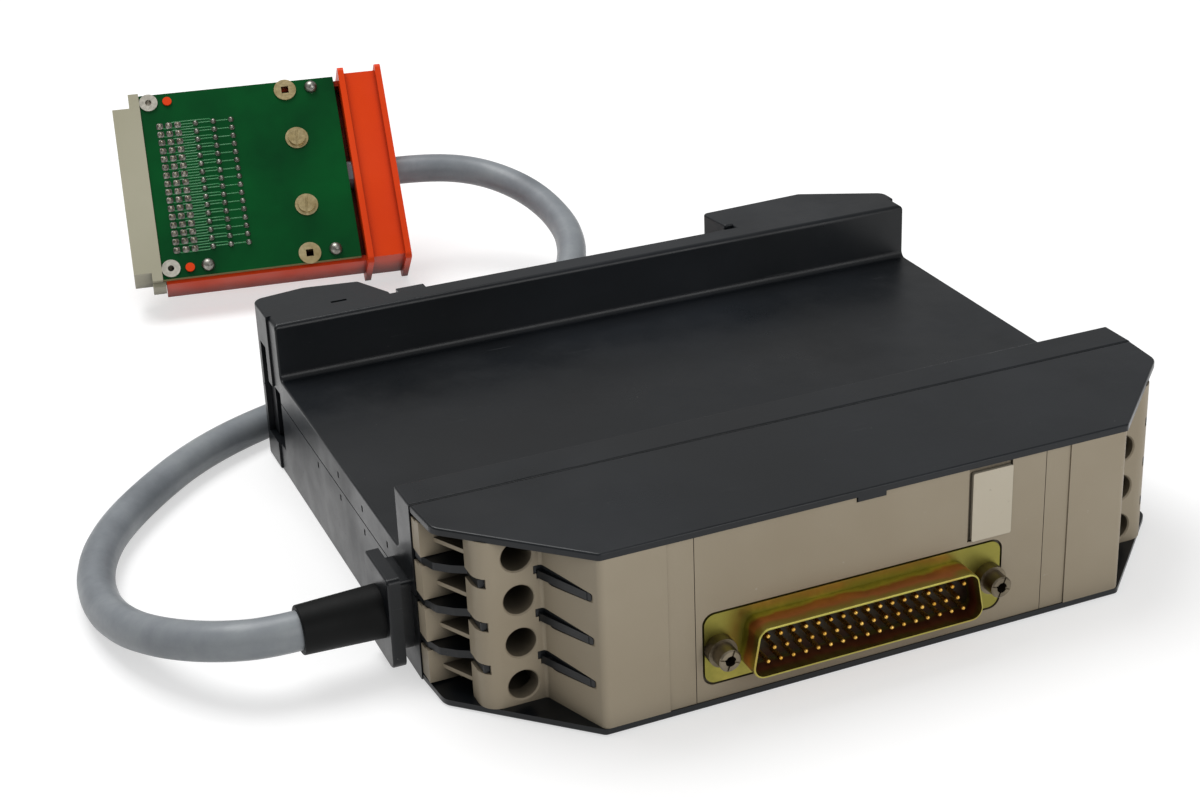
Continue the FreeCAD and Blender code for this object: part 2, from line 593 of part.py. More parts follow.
def build_faceplate():
    """Centre faceplate with the sunk seat of the D-sub and of the label."""
    gap = GAP / 2
    y0 = FACE_Y
    y1 = FACE_Y + PLATE_T
    plate = box(-PLATE_HALF + gap, PLATE_HALF - gap, y0, y1, CHEEK_T, HEIGHT - CHEEK_T)
    plate = plate.cut(front_prism(flange_outline(0.45), y0 - 1, y0 + FLANGE_T, 2.6))
    hole = rect(DSUB_X - BODY_L / 2, DSUB_X + BODY_L / 2, DSUB_Z - BODY_H / 2, DSUB_Z + BODY_H / 2)
    plate = plate.cut(front_prism(hole, y0 - 1, y1 + 1, 1.0))
    for side in (-1, 1):
        x = DSUB_X + side * LOCK_SPACING / 2
        plate = plate.cut(rod((x, 0, DSUB_Z), (x, y1 + 1, DSUB_Z), LOCK_R + 0.15))
    label_x0, label_x1, label_z0, label_z1 = LABEL
    plate = plate.cut(box(label_x0 - 0.7, label_x1 + 0.15, y0 - 1, y0 + 0.6, label_z0 - 0.1, HEIGHT))
    plate = plate.cut(box(PRY_TAB[0] - 0.2, PRY_TAB[1] + 0.2, y0 - 1, FACE_Y + 1.2,
                          HEIGHT - CHEEK_T - 1.2, HEIGHT))
    keep("centre_faceplate", plate)
    label = front_prism(rect(label_x0, label_x1, label_z0, label_z1), y0 - 0.5, y0 + 0.6, 0.4)
    keep("label_plate", label)


# ---------------------------------------------------------------- D-sub plug
def pin_places():
    """Three rows: 17, 16 and 17 pins; the middle row is half a pitch off."""
    for row, count in ((1, 17), (0, 16), (-1, 17)):
        for i in range(count):
            yield DSUB_X + (i - (count - 1) / 2) * PIN_PITCH, DSUB_Z + row * ROW_PITCH


def build_dsub():
    """Steel shell, insulator, pins, screw-locks with nuts, and the solder board behind."""
    y0 = FACE_Y
    flange = front_prism(flange_outline(0), y0, y0 + FLANGE_T, 2.4)
    outer = front_prism(shroud_outline(0), y0 - SHROUD_OUT, y0 + 0.01, 2.6)
    outer = soften(outer, LIP_R, lambda edge: edge.BoundBox.YMax < y0 - SHROUD_OUT + 0.01)
    shell = fused([flange, outer])
    cavity = front_prism(shroud_outline(-SHROUD_T), y0 - SHROUD_OUT - 1, y0 + FLANGE_T + 1, 2.6 - SHROUD_T)
    shell = shell.cut(cavity)
    for side in (-1, 1):
        x = DSUB_X + side * LOCK_SPACING / 2
        shell = shell.cut(rod((x, y0 - 1, DSUB_Z), (x, y0 + 2, DSUB_Z), LOCK_R + 0.1))
    keep("dsub_shell", shell)

    back_y = y0 + FLANGE_T + BODY_DEPTH
    front = front_prism(shroud_outline(-SHROUD_T), y0 - 0.6, y0 + FLANGE_T, 2.6 - SHROUD_T)
    block = rect(DSUB_X - BODY_L / 2 + 0.1, DSUB_X + BODY_L / 2 - 0.1, DSUB_Z - BODY_H / 2 + 0.1,
                 DSUB_Z + BODY_H / 2 - 0.1)
    insulator = fused([front, front_prism(block, y0 + FLANGE_T, back_y, 0.9)])
    pins = []
    board_back = back_y + BOARD_BACK_T
    for x, z in pin_places():
        tip = y0 - PIN_OUT + PIN_R
        pin = rod((x, tip, z), (x, board_back + 1.2, z), PIN_R)
        nose = Part.makeSphere(PIN_R, V(x, tip, z))
        pins.append(fused([pin, nose]))
    insulator = insulator.cut(Part.makeCompound(pins))
    keep("dsub_insulator", insulator)
    keep("dsub_pins", pins)

    board = box(DSUB_X - BOARD_BACK_HALF, DSUB_X + BOARD_BACK_HALF, back_y, board_back, 4.0, HEIGHT - 4.0)
    board = board.cut(Part.makeCompound(pins))
    keep("solder_board", board)

    locks = []
    nuts = []
    for side in (-1, 1):
        x = DSUB_X + side * LOCK_SPACING / 2
        collar = rod((x, y0 - 2.3, DSUB_Z), (x, y0, DSUB_Z), 3.1)
        post = rod((x, y0 - 5.6, DSUB_Z), (x, y0 - 2.3, DSUB_Z), 2.35)
        post = post.makeChamfer(0.3, [e for e in post.Edges if e.BoundBox.YMax < y0 - 5.5])
        for turn in (20, 110):
            slot = box(-2.6, 2.6, y0 - 6, y0 - 5.3, -0.2, 0.2)
            slot.rotate(V(0, 0, 0), V(0, 1, 0), turn)
            slot.translate(V(x, 0, DSUB_Z))
            post = post.cut(slot)
        bore = rod((x, y0 - 6, DSUB_Z), (x, y0 - 1.5, DSUB_Z), LOCK_BORE_R)
        shank = rod((x, y0, DSUB_Z), (x, y0 + PLATE_T + 3.4, DSUB_Z), LOCK_R)
        locks.append(fused([collar, post, shank]).cut(bore))
        hexagon = [(x + 2.9 * math.cos(math.radians(60 * k)), DSUB_Z + 2.9 * math.sin(math.radians(60 * k)))
                   for k in range(6)]
        nut = front_prism(hexagon, y0 + PLATE_T, y0 + PLATE_T + 2.4)
        nuts.append(nut.cut(rod((x, 0, DSUB_Z), (x, 10, DSUB_Z), LOCK_R)))
    keep("dsub_screw_locks", locks)
    keep("dsub_nuts", nuts)


# ---------------------------------------------------------------- earth terminal
def build_earth():
    """Screw, sprung clamp plate and threaded bar of the lowest terminal on the left."""
    x = -TERMINAL_X
    z = TERMINAL_Z
    head_y = HEAD_Y
    clamp_y = HEAD_Y + HEAD_T
    head = rod((x, head_y, z), (x, clamp_y, z), HEAD_R)
    head = head.makeChamfer(0.4, [e for e in head.Edges if e.BoundBox.YMax < head_y + 0.1])
    for turn in (35, 125):
        slot = box(-3, 3, head_y - 1, head_y + 1.0, -0.4, 0.4)
        slot.rotate(V(0, 0, 0), V(0, 1, 0), turn)
        slot.translate(V(x, 0, z))
        head = head.cut(slot)
    shank = rod((x, clamp_y, z), (x, SEAM_Y - 1.4, z), SCREW_R)
    keep("earth_screw", fused([head, shank]))
    clamp_room = earth_pocket(0.4)
    clamp = box(x - 3.4, x + 3.4, clamp_y, clamp_y + CLAMP_PLATE_T, z - 3.1, z + 3.1).common(clamp_room)
    clamp = clamp.cut(rod((x, clamp_y - 1, z), (x, clamp_y + 3, z), SCREW_R + 0.08))
    keep("earth_clamp", clamp)
    bar = box(x - HEAD_R - 1.0, x + 5, BAR_Y, BAR_Y + BAR_T, 0, HEIGHT).common(earth_pocket(0.1))
    bar = bar.cut(rod((x, 20, z), (x, SEAM_Y, z), SCREW_R + 0.04))
    keep("earth_bar", bar)


# ---------------------------------------------------------------- gland and inner cable
def build_gland():
    """Gland plate held in the wall, tapered rubber boot and the length of cable inside them."""
    wall_x = -HALF + 0.5
    neck = rect(GLAND_Y - GLAND_HALF + 1.3, GLAND_Y + GLAND_HALF - 1.3, GLAND_LOW + 1.4, GLAND_HIGH - 1.9)
    outer = rect(GLAND_Y - GLAND_HALF, GLAND_Y + GLAND_HALF, GLAND_LOW, GLAND_HIGH)
    plate = fused([side_prism(neck, GLAND_X + GLAND_T, wall_x, [6, 6, 1, 1]),
                   side_prism(outer, GLAND_X, GLAND_X + GLAND_T, [2.5, 2.5, 1.2, 1.2])])
    plate = soften(plate, SOFT_EDGE, lambda edge: edge.BoundBox.XMax < GLAND_X + 0.01)
    bore = rod((GLAND_X - 5, GLAND_Y, GLAND_Z), (wall_x + 5, GLAND_Y, GLAND_Z), CABLE_R + 0.02)
    plate = plate.cut(bore)
    keep("gland_plate", plate)
    core = rod((BOOT_END_X, GLAND_Y, GLAND_Z), (JACKET_END_X, GLAND_Y, GLAND_Z), CABLE_R)
    boot = cone((BOOT_END_X, GLAND_Y, GLAND_Z), (GLAND_X, GLAND_Y, GLAND_Z), BOOT_END_R, BOOT_ROOT_R)
    boot = soften(boot, 0.3, lambda edge: edge.BoundBox.XMax < BOOT_END_X + 0.01)
    keep("gland_boot", boot.cut(core))
    keep("cable_entry", core)


def build_inner_clamp():
    """Saddle that holds the cable down inside the housing, with its two screws."""
    x0 = CLAMP_X - 4
    x1 = CLAMP_X + 4
    seat = box(x0, x1, GLAND_Y - 11, GLAND_Y + 11, 2.0, GLAND_Z - 0.3)
    seat = seat.cut(rod((x0 - 1, GLAND_Y, GLAND_Z), (x1 + 1, GLAND_Y, GLAND_Z), CABLE_R))
    seat = seat.cut(box(x0 - 1, x1 + 1, 20, SEAM_Y + GAP, 0, 3.2))
    strap = box(x0, x1, GLAND_Y - 11, GLAND_Y + 11, GLAND_Z + 0.3, GLAND_Z + 2.4)
    over = CABLE_R + 2.1
    hump = side_prism(rect(GLAND_Y - over, GLAND_Y + over, GLAND_Z + 0.3, GLAND_Z + over), x0, x1,
                      [0, 0, over - 2.2, over - 2.2])
    strap = fused([strap, hump])
    strap = strap.cut(rod((x0 - 1, GLAND_Y, GLAND_Z), (x1 + 1, GLAND_Y, GLAND_Z), CABLE_R))
    screws = []
    for side in (-1, 1):
        y = GLAND_Y + side * CLAMP_SCREW_Y
        hole = rod((CLAMP_X, y, 5.0), (CLAMP_X, y, 18.0), 1.25)
        seat = seat.cut(hole)
        strap = strap.cut(hole)
        head = rod((CLAMP_X, y, GLAND_Z + 2.4), (CLAMP_X, y, GLAND_Z + 4.2), 2.5)
        slot = box(CLAMP_X - 2.7, CLAMP_X + 2.7, y - 0.35, y + 0.35, GLAND_Z + 3.4, GLAND_Z + 5)
        screws.append(fused([head.cut(slot), rod((CLAMP_X, y, 5.0), (CLAMP_X, y, GLAND_Z + 2.4), 1.25)]))
    keep("clamp_seat", seat)
    keep("clamp_strap", strap)
    keep("clamp_screws", screws)


def build_wires():
    """The cable's cores, in eight bundles from the cut jacket to the solder board."""
    board_y = FACE_Y + FLANGE_T + BODY_DEPTH + BOARD_BACK_T
    bundles = []
    for i in range(8):
        a = 2 * math.pi * (i + 0.5) / 8
        start = (JACKET_END_X, GLAND_Y + 2.4 * math.cos(a), GLAND_Z + 2.4 * math.sin(a))
        end_x = DSUB_X - 28 + 8 * i
        end_z = 25.0 + 1.5 * (i % 2)
        lift = 5.0 + 2.2 * i
        route = [start, (JACKET_END_X + 7.0, start[1], start[2]), (-30.0 + 6 * i, 40.0, min(6 + lift, 21.0)),
                 (end_x, 28.0, end_z), (end_x, board_y, end_z)]
        radii = [0, 3, 4, 4, 0]
        path = rounded_path(route, radii, False)
        ring = Part.Wire(Part.makeCircle(0.85, V(*start), V(1, 0, 0)))
        bundles.append(path.makePipeShell([ring], True, False))
    keep("wire_bundles", bundles)


# ---------------------------------------------------------------- the plug-in board
def plug_rotation():
    turn = FreeCAD.Rotation(V(0, 0, 1), PLUG_YAW)
    return turn.multiply(FreeCAD.Rotation(V(1, 0, 0), 90 - PLUG_LEAN))


def plug_origin():
    """Height of the first contact, so that the handle's lower rims stand on the floor."""
    rise = math.cos(math.radians(PLUG_LEAN))
    sink = math.sin(math.radians(PLUG_LEAN))
    low_w = HANDLE_W[0] - RIM_OUT + RIM_ROUND
    low_d = HANDLE_D[0] - RIM_OUT + RIM_ROUND
    return V(PLUG_X, PLUG_Y, RIM_ROUND - low_w * rise - low_d * sink)


def plug_point(u, w, d):
    return plug_origin() + plug_rotation().multVec(V(u, w, d))


def keep_plug(name, shapes):
    """Put a piece, drawn flat with u, w and d as x, y and z, into its leaning place."""
    shapes = shapes if isinstance(shapes, list) else [shapes]
    placed = []
    for shape in shapes:
        moved = shape.copy()
        moved.Placement = FreeCAD.Placement(plug_origin(), plug_rotation()).multiply(moved.Placement)
        placed.append(moved)
    keep(name, placed)


def grid_places(columns):
    for u in columns:
        for k in range(ROWS):
            yield u, k * GRID


def build_plug_board():
    u0, u1, w0, w1 = BOARD
    board = box(u0, u1, w0, w1, -BOARD_T, 0)
    holes = []
    for u, w in CONNECTOR_RIVETS:
        holes.append(rod((u, w, -3), (u, w, 1), 1.5))
    for u, w in PEGS:
        holes.append(rod((u, w, -3), (u, w, 1), 1.35))
    for u, w in SOLDERED_POSTS:
        holes.append(rod((u, w, -3), (u, w, 1), 0.8))
    for u, w in CLAMP_SCREWS:
        holes.append(rod((u, w, -3), (u, w, 1), 1.3))
    for u, w in SQUARE_EYELETS:
        holes.append(rod((u, w, -3), (u, w, 1), 2.0))
    for u, w in grid_places(CONTACT_COLUMNS + WIRE_COLUMNS):
        holes.append(rod((u, w, -3), (u, w, 1), 0.4))
    keep_plug("plug_board", board.cut(Part.makeCompound(holes)))


def build_plug_connector():
    """Half-length two-piece connector body with its deep socket, and 48 angled contacts."""
    back = -BOARD_T - CONNECTOR_DEPTH
    core = box(-7.8, 7.4, -4.2, 42.3, back, -BOARD_T)
    ends = [box(-7.8, TRAY_U - 0.2, -9.8, -4.2, back + 4.0, -BOARD_T),
            box(-7.8, 0.2, TRAY_W[0] + TRAY_WALL + 0.3, -4.2, back + 4.0, -BOARD_T),
            box(-7.8, 0.2, 42.3, 48.8, back + 4.0, -BOARD_T)]
    front = [box(-7.8, -4.9, -8.5, 48.8, back, 0.5), box(-12.7, -7.8, -6.0, 44.5, back, 0.5)]
    body = fused([core] + ends + front)
    socket = box(-14, -5.5, SOCKET_W[0], SOCKET_W[1], back + 1.4, -0.9)
    body = body.cut(socket)
    for u, w in CONNECTOR_RIVETS:
        body = body.cut(rod((u, w, -20), (u, w, 1), 1.5))
    contacts = []
    for column, u in enumerate(CONTACT_COLUMNS):
        level = -BOARD_T - 2.4 - column * GRID
        for k in range(ROWS):
            w = k * GRID
            tail = box(u - 0.28, u + 0.28, w - 0.28, w + 0.28, level, 0.9)
            blade = box(-11.2, u + 0.28, w - 0.28, w + 0.28, level - 0.56, level)
            contacts.append(fused([tail, blade]))
    body = body.cut(Part.makeCompound(contacts))
    keep_plug("plug_connector", body)
    keep_plug("plug_contacts", contacts)
    wire_pins = [rod((u, w, -3.4), (u, w, 0.8), 0.4) for u, w in grid_places(WIRE_COLUMNS)]
    keep_plug("plug_wire_pins", wire_pins)
    rivets = []
    for u, w in CONNECTOR_RIVETS:
        tube = rod((u, w, back + 4.0), (u, w, 0.5), 1.5)
        rim = rod((u, w, 0.0), (u, w, 0.5), 2.6)
        rivets.append(fused([tube, rim]).cut(rod((u, w, -20), (u, w, 2), 0.9)))
    keep_plug("plug_rivets", rivets)


def build_plug_fittings():
    """Square-holed eyelets, slotted clamp screws and soldered posts on the board."""
    eyelets = []
    for u, w in SQUARE_EYELETS:
        ring = fused([rod((u, w, 0), (u, w, 0.5), 3.2), rod((u, w, -BOARD_T), (u, w, 0), 2.0)])
        eyelets.append(ring.cut(box(u - 1.05, u + 1.05, w - 1.05, w + 1.05, -4, 2)))
    keep_plug("plug_eyelets", eyelets)
    screws = []
    for u, w in CLAMP_SCREWS:
        washer = rod((u, w, 0), (u, w, 0.35), 3.3)
        head = rod((u, w, 0.35), (u, w, 1.0), 2.4)
        slot = box(-3, 3, -0.35, 0.35, 0.5, 2.0)
        slot.rotate(V(0, 0, 0), V(0, 0, 1), 84)
        slot.translate(V(u, w, 0))
        shank = rod((u, w, -10.2), (u, w, 0), 1.3)
        screws.append(fused([washer, head.cut(slot), shank]))
    keep_plug("plug_screws", screws)
    posts = []
    for u, w in SOLDERED_POSTS:
        bead = Part.makeSphere(1.9, V(u, w, 0)).common(box(u - 3, u + 3, w - 3, w + 3, 0, 3))
        posts.append(fused([rod((u, w, -4.0), (u, w, 0), 0.8), bead]))
    keep_plug("plug_posts", posts)


def build_plug_case():
    """Orange tray behind the board, and the handle with its two rims."""
    back = -TRAY_DEPTH
    tray = box(TRAY_U, HANDLE_U[0], TRAY_W[0], TRAY_W[1], back, -BOARD_T)
    tray = tray.cut(box(TRAY_U - 1, HANDLE_U[0] - 1.6, TRAY_W[0] + TRAY_WALL, TRAY_W[1] - TRAY_WALL,
                        back + 1.5, 1))
    tray = tray.cut(box(TRAY_U - 1, 0.6, -4.4, 50, back - 1, 1))
    tray = tray.cut(box(-1, 7.6, -4.4, 42.5, back - 1, 1))
    tray = tray.cut(box(HANDLE_U[0] - 2, HANDLE_U[0] + 1, TRAY_W[0] + TRAY_WALL, TRAY_W[1] - TRAY_WALL, -6.0, 1))
    tray = tray.cut(rod((40, ENTRY_W, ENTRY_D), (70, ENTRY_W, ENTRY_D), CABLE_R + 0.3))
    supports = []
    for u, w in PEGS:
        supports.append(rod((u, w, back + 1), (u, w, 0.6), 1.3))
    for u, w in SOLDERED_POSTS:
        supports.append(rod((u, w, back + 1), (u, w, -4.0), 1.15))
        tray = tray.cut(rod((u, w, -4.0), (u, w, 0), 0.8))
    for u, w in SQUARE_EYELETS:
        support = rod((u, w, back + 1), (u, w, -BOARD_T), 2.6)
        supports.append(support.cut(rod((u, w, back + 2), (u, w, 0), 1.6)))
    tray = fused([tray] + supports)
    body_u = (HANDLE_U[0] + RIM_T, HANDLE_U[1] - RIM_T)
    keep_plug("plug_tray", tray)
    w0, w1 = HANDLE_W
    d0, d1 = HANDLE_D
    body = box(body_u[0], body_u[1], w0, w1, d0, d1)
    pieces = [body]
    for u in (HANDLE_U[0], HANDLE_U[1] - RIM_T):
        rim = side_prism(rect(w0 - RIM_OUT, w1 + RIM_OUT, d0 - RIM_OUT, d1 + RIM_OUT), u, u + RIM_T, RIM_ROUND)
        pieces.append(rim)
    handle = fused(pieces)
    handle = handle.cut(box(body_u[0], body_u[1], w0 + 1.8, w1 - 1.8, d0 + 1.8, d1 - 1.8))
    handle = handle.cut(rod((40, ENTRY_W, ENTRY_D), (80, ENTRY_W, ENTRY_D), CABLE_R))
    keep_plug("plug_handle", handle)


def build_plug_clamp():
    """Bar that presses the cable against the board, and the cable's end with its fanned cores."""
    end_u = 30.0
    exit_u = HANDLE_U[1]
    jacket = rod((end_u, ENTRY_W, ENTRY_D), (exit_u, ENTRY_W, ENTRY_D), CABLE_R)
    jacket = jacket.cut(box(20, 54, 0, 40, -BOARD_T, 5))
    keep_plug("plug_cable_end", jacket)
    bar = box(35.4, 41.0, 5.6, 33.8, ENTRY_D - CABLE_R, ENTRY_D - CABLE_R + 2.6)
    hump = box(35.4, 41.0, ENTRY_W - 6.2, ENTRY_W + 6.2, ENTRY_D - CABLE_R - 1.5, ENTRY_D)
    bar = fused([bar, hump])
    bar = bar.cut(rod((20, ENTRY_W, ENTRY_D), (60, ENTRY_W, ENTRY_D), CABLE_R))
    for u, w in CLAMP_SCREWS:
        bar = bar.cut(rod((u, w, -20), (u, w, 1), 1.3))
    keep_plug("plug_clamp_bar", bar)
    cores = []
    for i in range(6):
        w_end = ENTRY_W + 4.2 * (i - 2.5)
        spread = ENTRY_W + 1.15 * (i - 2.5)
        route = [(end_u, spread, ENTRY_D), (end_u - 1.6, spread, ENTRY_D), (end_u - 5.8, w_end, ENTRY_D),
                 (WIRE_COLUMNS[2] + 1.6, w_end, ENTRY_D)]
        path = rounded_path(route, [0, 1.0, 1.0, 0], False)
        ring = Part.Wire(Part.makeCircle(0.5, V(end_u, spread, ENTRY_D), V(1, 0, 0)))
        cores.append(path.makePipeShell([ring], True, False))
    keep_plug("plug_wires", cores)


# ---------------------------------------------------------------- cable
def cable_route():
    """From the boot, round the floor behind the module, and up into the handle."""
    boot_end = V(BOOT_END_X, GLAND_Y, GLAND_Z)
    first = boot_end + V(-6.5, 0, 0)
    entry = plug_point(HANDLE_U[1], ENTRY_W, ENTRY_D)
    last = entry + plug_rotation().multVec(V(1, 0, 0)) * 11.0
    floor = CABLE_R + 0.05
    middle = [(-120.3, 46.5, 12.5), (-126.9, 52.8, 11.0), (-132.6, 61.9, 8.8), (-136.6, 73.1, 6.3),
              (-138.4, 86.7, floor), (-137.2, 100.7, floor), (-131.5, 115.8, floor),
              (-120.5, 130.8, floor), (-104.0, 147.5, floor), (-84.0, 158.8, floor),
              (-61.0, 165.0, floor), (-38.0, 167.0, floor), (-17.0, 170.5, 5.4), (0.0, 178.0, 9.2),
              (12.5, 190.0, 14.0), (19.5, 205.0, 18.2), (20.5, 221.5, 21.3), (17.0, 237.0, 24.3),
              (8.0, 248.8, 27.2)]
    route = [tuple(boot_end), tuple(first)] + middle + [tuple(last), tuple(entry)]
    return route


def cord_radii(route):
    """Each arc is as large as its two runs allow."""
    radii = [0.0]
    for i in range(1, len(route) - 1):
        a = V(*route[i - 1]) - V(*route[i])
        b = V(*route[i + 1]) - V(*route[i])
        turn = math.pi - a.getAngle(b)
        radii.append(0.45 * min(a.Length, b.Length) / math.tan(turn / 2))
    return radii + [0.0]


def build_cable():
    route = cable_route()
    radii = cord_radii(route)
    path = rounded_path(route, radii, False)
    heading = V(*route[1]) - V(*route[0])
    ring = Part.Wire(Part.makeCircle(CABLE_R, V(*route[0]), heading))
    tube = path.makePipeShell([ring], True, False)
    keep("cable", tube)
    expected = math.pi * CABLE_R ** 2 * path.Length
    print("cable length %.1f mm, volume %.0f of %.0f" % (path.Length, tube.Volume, expected))
    print("arc radii", " ".join("%.0f" % r for r in radii[1:-1]))
    print("route in the frame, mm:")
    for point in route:
        moved = V(*point) + FRAME_SHIFT
        print("  (%.1f, %.1f, %.1f)" % (moved.x, moved.y, moved.z))


build_shells()
build_shell_screws()
build_latch()
build_front()
build_faceplate()
build_dsub()
build_earth()
build_gland()
build_inner_clamp()
build_wires()
build_plug_board()
build_plug_connector()
build_plug_fittings()
build_plug_case()
build_plug_clamp()
build_cable()

os.makedirs("parts", exist_ok=True)
for name, shape in parts.items():
    shape.translate(FRAME_SHIFT)
    shape.exportStep("parts/" + name + ".step")
    b = shape.BoundBox
    print("%-18s solids %3d valid %s  x %.1f %.1f  y %.1f %.1f  z %.1f %.1f" % (
        name, len(shape.Solids), shape.isValid(), b.XMin, b.XMax, b.YMin, b.YMax, b.ZMin, b.ZMax))
print("frame shift", FRAME_SHIFT, "nodes", len(parts))
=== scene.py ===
# %% [markdown]
# # A cable adapter module, from its CAD frame to its finish
# The object is an adapter of an automation rack: a black moulded housing with a beige front, a
# 50-way D-sub plug, and a grey cable to an orange plug-in board. The CAD frame already holds every
# rigid piece at its real size. This lesson lights it, lays the cable, adds the solder and the
# copper tracks that CAD leaves out, and gives each piece the finish of its real material.

# %% Load the frame
import json
import math
import bmesh
import bpy
import numpy as np
from mathutils import Matrix, Vector


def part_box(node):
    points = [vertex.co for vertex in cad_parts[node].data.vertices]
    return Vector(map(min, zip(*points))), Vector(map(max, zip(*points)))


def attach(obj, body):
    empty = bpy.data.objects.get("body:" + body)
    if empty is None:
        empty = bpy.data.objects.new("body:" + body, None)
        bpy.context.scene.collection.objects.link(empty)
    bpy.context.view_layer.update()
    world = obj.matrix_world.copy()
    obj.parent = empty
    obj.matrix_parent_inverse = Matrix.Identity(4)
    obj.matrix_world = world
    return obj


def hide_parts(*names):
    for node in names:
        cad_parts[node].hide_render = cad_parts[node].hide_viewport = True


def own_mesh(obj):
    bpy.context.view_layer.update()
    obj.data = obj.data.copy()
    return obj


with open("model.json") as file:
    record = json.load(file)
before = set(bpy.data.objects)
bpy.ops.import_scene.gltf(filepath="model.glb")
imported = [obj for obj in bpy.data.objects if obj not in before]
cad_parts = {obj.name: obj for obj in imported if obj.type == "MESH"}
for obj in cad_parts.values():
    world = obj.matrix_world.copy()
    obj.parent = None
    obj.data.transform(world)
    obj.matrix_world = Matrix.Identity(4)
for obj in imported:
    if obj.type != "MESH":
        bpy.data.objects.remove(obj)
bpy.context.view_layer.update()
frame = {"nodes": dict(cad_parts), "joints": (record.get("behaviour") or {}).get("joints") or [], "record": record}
MM = 0.001

# %% [markdown]
# ## Camera
# A product picture is taken from a little above and to the left, with a lens of about 64 mm. The
# camera is given as a studio would note it: where it stands, how far it is turned and
# tilted, and the small shift that frames the module below the middle of the picture.

# %% Camera
CAMERA_PLACE = (-0.18725, -0.39317, 0.23456)
CAMERA_TURN = -23.22      # degrees about the upright axis, away from facing the front
CAMERA_TILT = 23.63       # degrees down
CAMERA_ROLL = -1.88       # degrees, a hand-held picture
LENS = 63.8               # millimetres, on a sensor 36 mm wide
SHIFT = (-0.0284, -0.0552)


def place_camera():
    """Camera turned about z, tilted down about its own x, then rolled about its line of sight."""
    data = bpy.data.cameras.new("camera")
    data.lens = LENS
    data.sensor_width = 36.0
    data.shift_x, data.shift_y = SHIFT
    data.clip_start = 0.01
    camera = bpy.data.objects.new("camera", data)
    bpy.context.scene.collection.objects.link(camera)
    turn = Matrix.Rotation(math.radians(CAMERA_TURN), 4, "Z")
    tilt = Matrix.Rotation(math.radians(90 - CAMERA_TILT), 4, "X")
    roll = Matrix.Rotation(math.radians(CAMERA_ROLL), 4, "Z")
    camera.matrix_world = Matrix.Translation(CAMERA_PLACE) @ turn @ tilt @ roll
    bpy.context.scene.camera = camera
    return camera


camera = place_camera()
sight = camera.matrix_world.to_quaternion() @ Vector((0, 0, -1))
print("camera looks along", tuple(round(c, 3) for c in sight))

# %% [markdown]
# ## The cable
# A round PVC cable of 48 cores is stiff: it leaves its boot straight, sinks to the table within a
# hand's width, sweeps round behind the module and rises in one wide bend into the orange handle.
# A NURBS curve of order 3 through a dozen and a half control points is the natural choice, since
# it has no corners anywhere and its line can be measured.

# %% Route of the cable, in metres
CABLE_DIAMETER = 0.0082
SPAN_STEPS = 12
CABLE_ROUTE = [
    (-0.1065, -0.0309, 0.0130), (-0.1130, -0.0309, 0.0130), (-0.1203, -0.0278, 0.0125),
    (-0.1269, -0.0215, 0.0110), (-0.1326, -0.0124, 0.0088), (-0.1366, -0.0012, 0.0063),
    (-0.1384, 0.0124, 0.00415), (-0.1372, 0.0264, 0.00415), (-0.1315, 0.0415, 0.00415),
    (-0.1205, 0.0565, 0.00415), (-0.1040, 0.0732, 0.00415), (-0.0840, 0.0845, 0.00415),
    (-0.0610, 0.0907, 0.00415), (-0.0380, 0.0927, 0.00415), (-0.0170, 0.0962, 0.0054),
    (0.0000, 0.1037, 0.0092), (0.0125, 0.1157, 0.0140), (0.0195, 0.1307, 0.0182),
    (0.0205, 0.1472, 0.0213), (0.0170, 0.1627, 0.0243), (0.0080, 0.1745, 0.0272),
    (-0.0053, 0.1793, 0.0292), (-0.0161, 0.1810, 0.0292),
]


def nurbs_tube(name, route, radius):
    """A round tube along a NURBS line of order 3; a bevel of 1 m is scaled by the points' radius."""
    data = bpy.data.curves.new(name, "CURVE")
    data.dimensions = "3D"
    data.resolution_u = SPAN_STEPS
    data.bevel_depth = 1.0
    data.bevel_resolution = 8
    data.use_fill_caps = True
    spline = data.splines.new("NURBS")
    spline.points.add(len(route) - 1)
    spline.points.foreach_set("co", np.hstack([np.array(route), np.ones((len(route), 1))]).ravel())
    spline.points.foreach_set("radius", np.full(len(route), radius))
    spline.order_u = 3
    spline.use_endpoint_u = True
    tube = bpy.data.objects.new(name, data)
    bpy.context.scene.collection.objects.link(tube)
    return tube


def centre_line(curve):
    """The curve's own line as an array of points, read from a copy with no thickness."""
    data = curve.data.copy()
    data.bevel_depth = 0
    bare = bpy.data.objects.new("bare", data)
    bpy.context.scene.collection.objects.link(bare)
    mesh = bpy.data.meshes.new_from_object(bare)
    line = np.empty(len(mesh.vertices) * 3)
    mesh.vertices.foreach_get("co", line)
    bpy.data.objects.remove(bare)
    return line.reshape(-1, 3)


cable = nurbs_tube("grey_cable", CABLE_ROUTE, CABLE_DIAMETER / 2)
cable_line = centre_line(cable)
cable_length = float(np.linalg.norm(np.diff(cable_line, axis=0), axis=1).sum())
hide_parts("cable")
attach(cable, "module")
print("cable length %.3f m" % cable_length)

# %% [markdown]
# ## Colours and nodes
# Paint charts give colours as sRGB hex values, but Cycles works in linear light, so one function
# turns the first into the second. A second small function adds a shader node with its settings
# and links. Patterns are sized in millimetres, so a third turns a size into a scale per metre.

# %% Helpers for materials
GRAIN_HEIGHT = 0.02 * MM


def srgb(text):
    """Hex colour to linear RGBA: c/12.92 below 0.04045, else ((c + 0.055)/1.055) to the power 2.4."""
    values = np.array([int(text[i:i + 2], 16) / 255 for i in (1, 3, 5)])
    linear = np.where(values <= 0.04045, values / 12.92, ((values + 0.055) / 1.055) ** 2.4)
    return (*map(float, linear), 1.0)


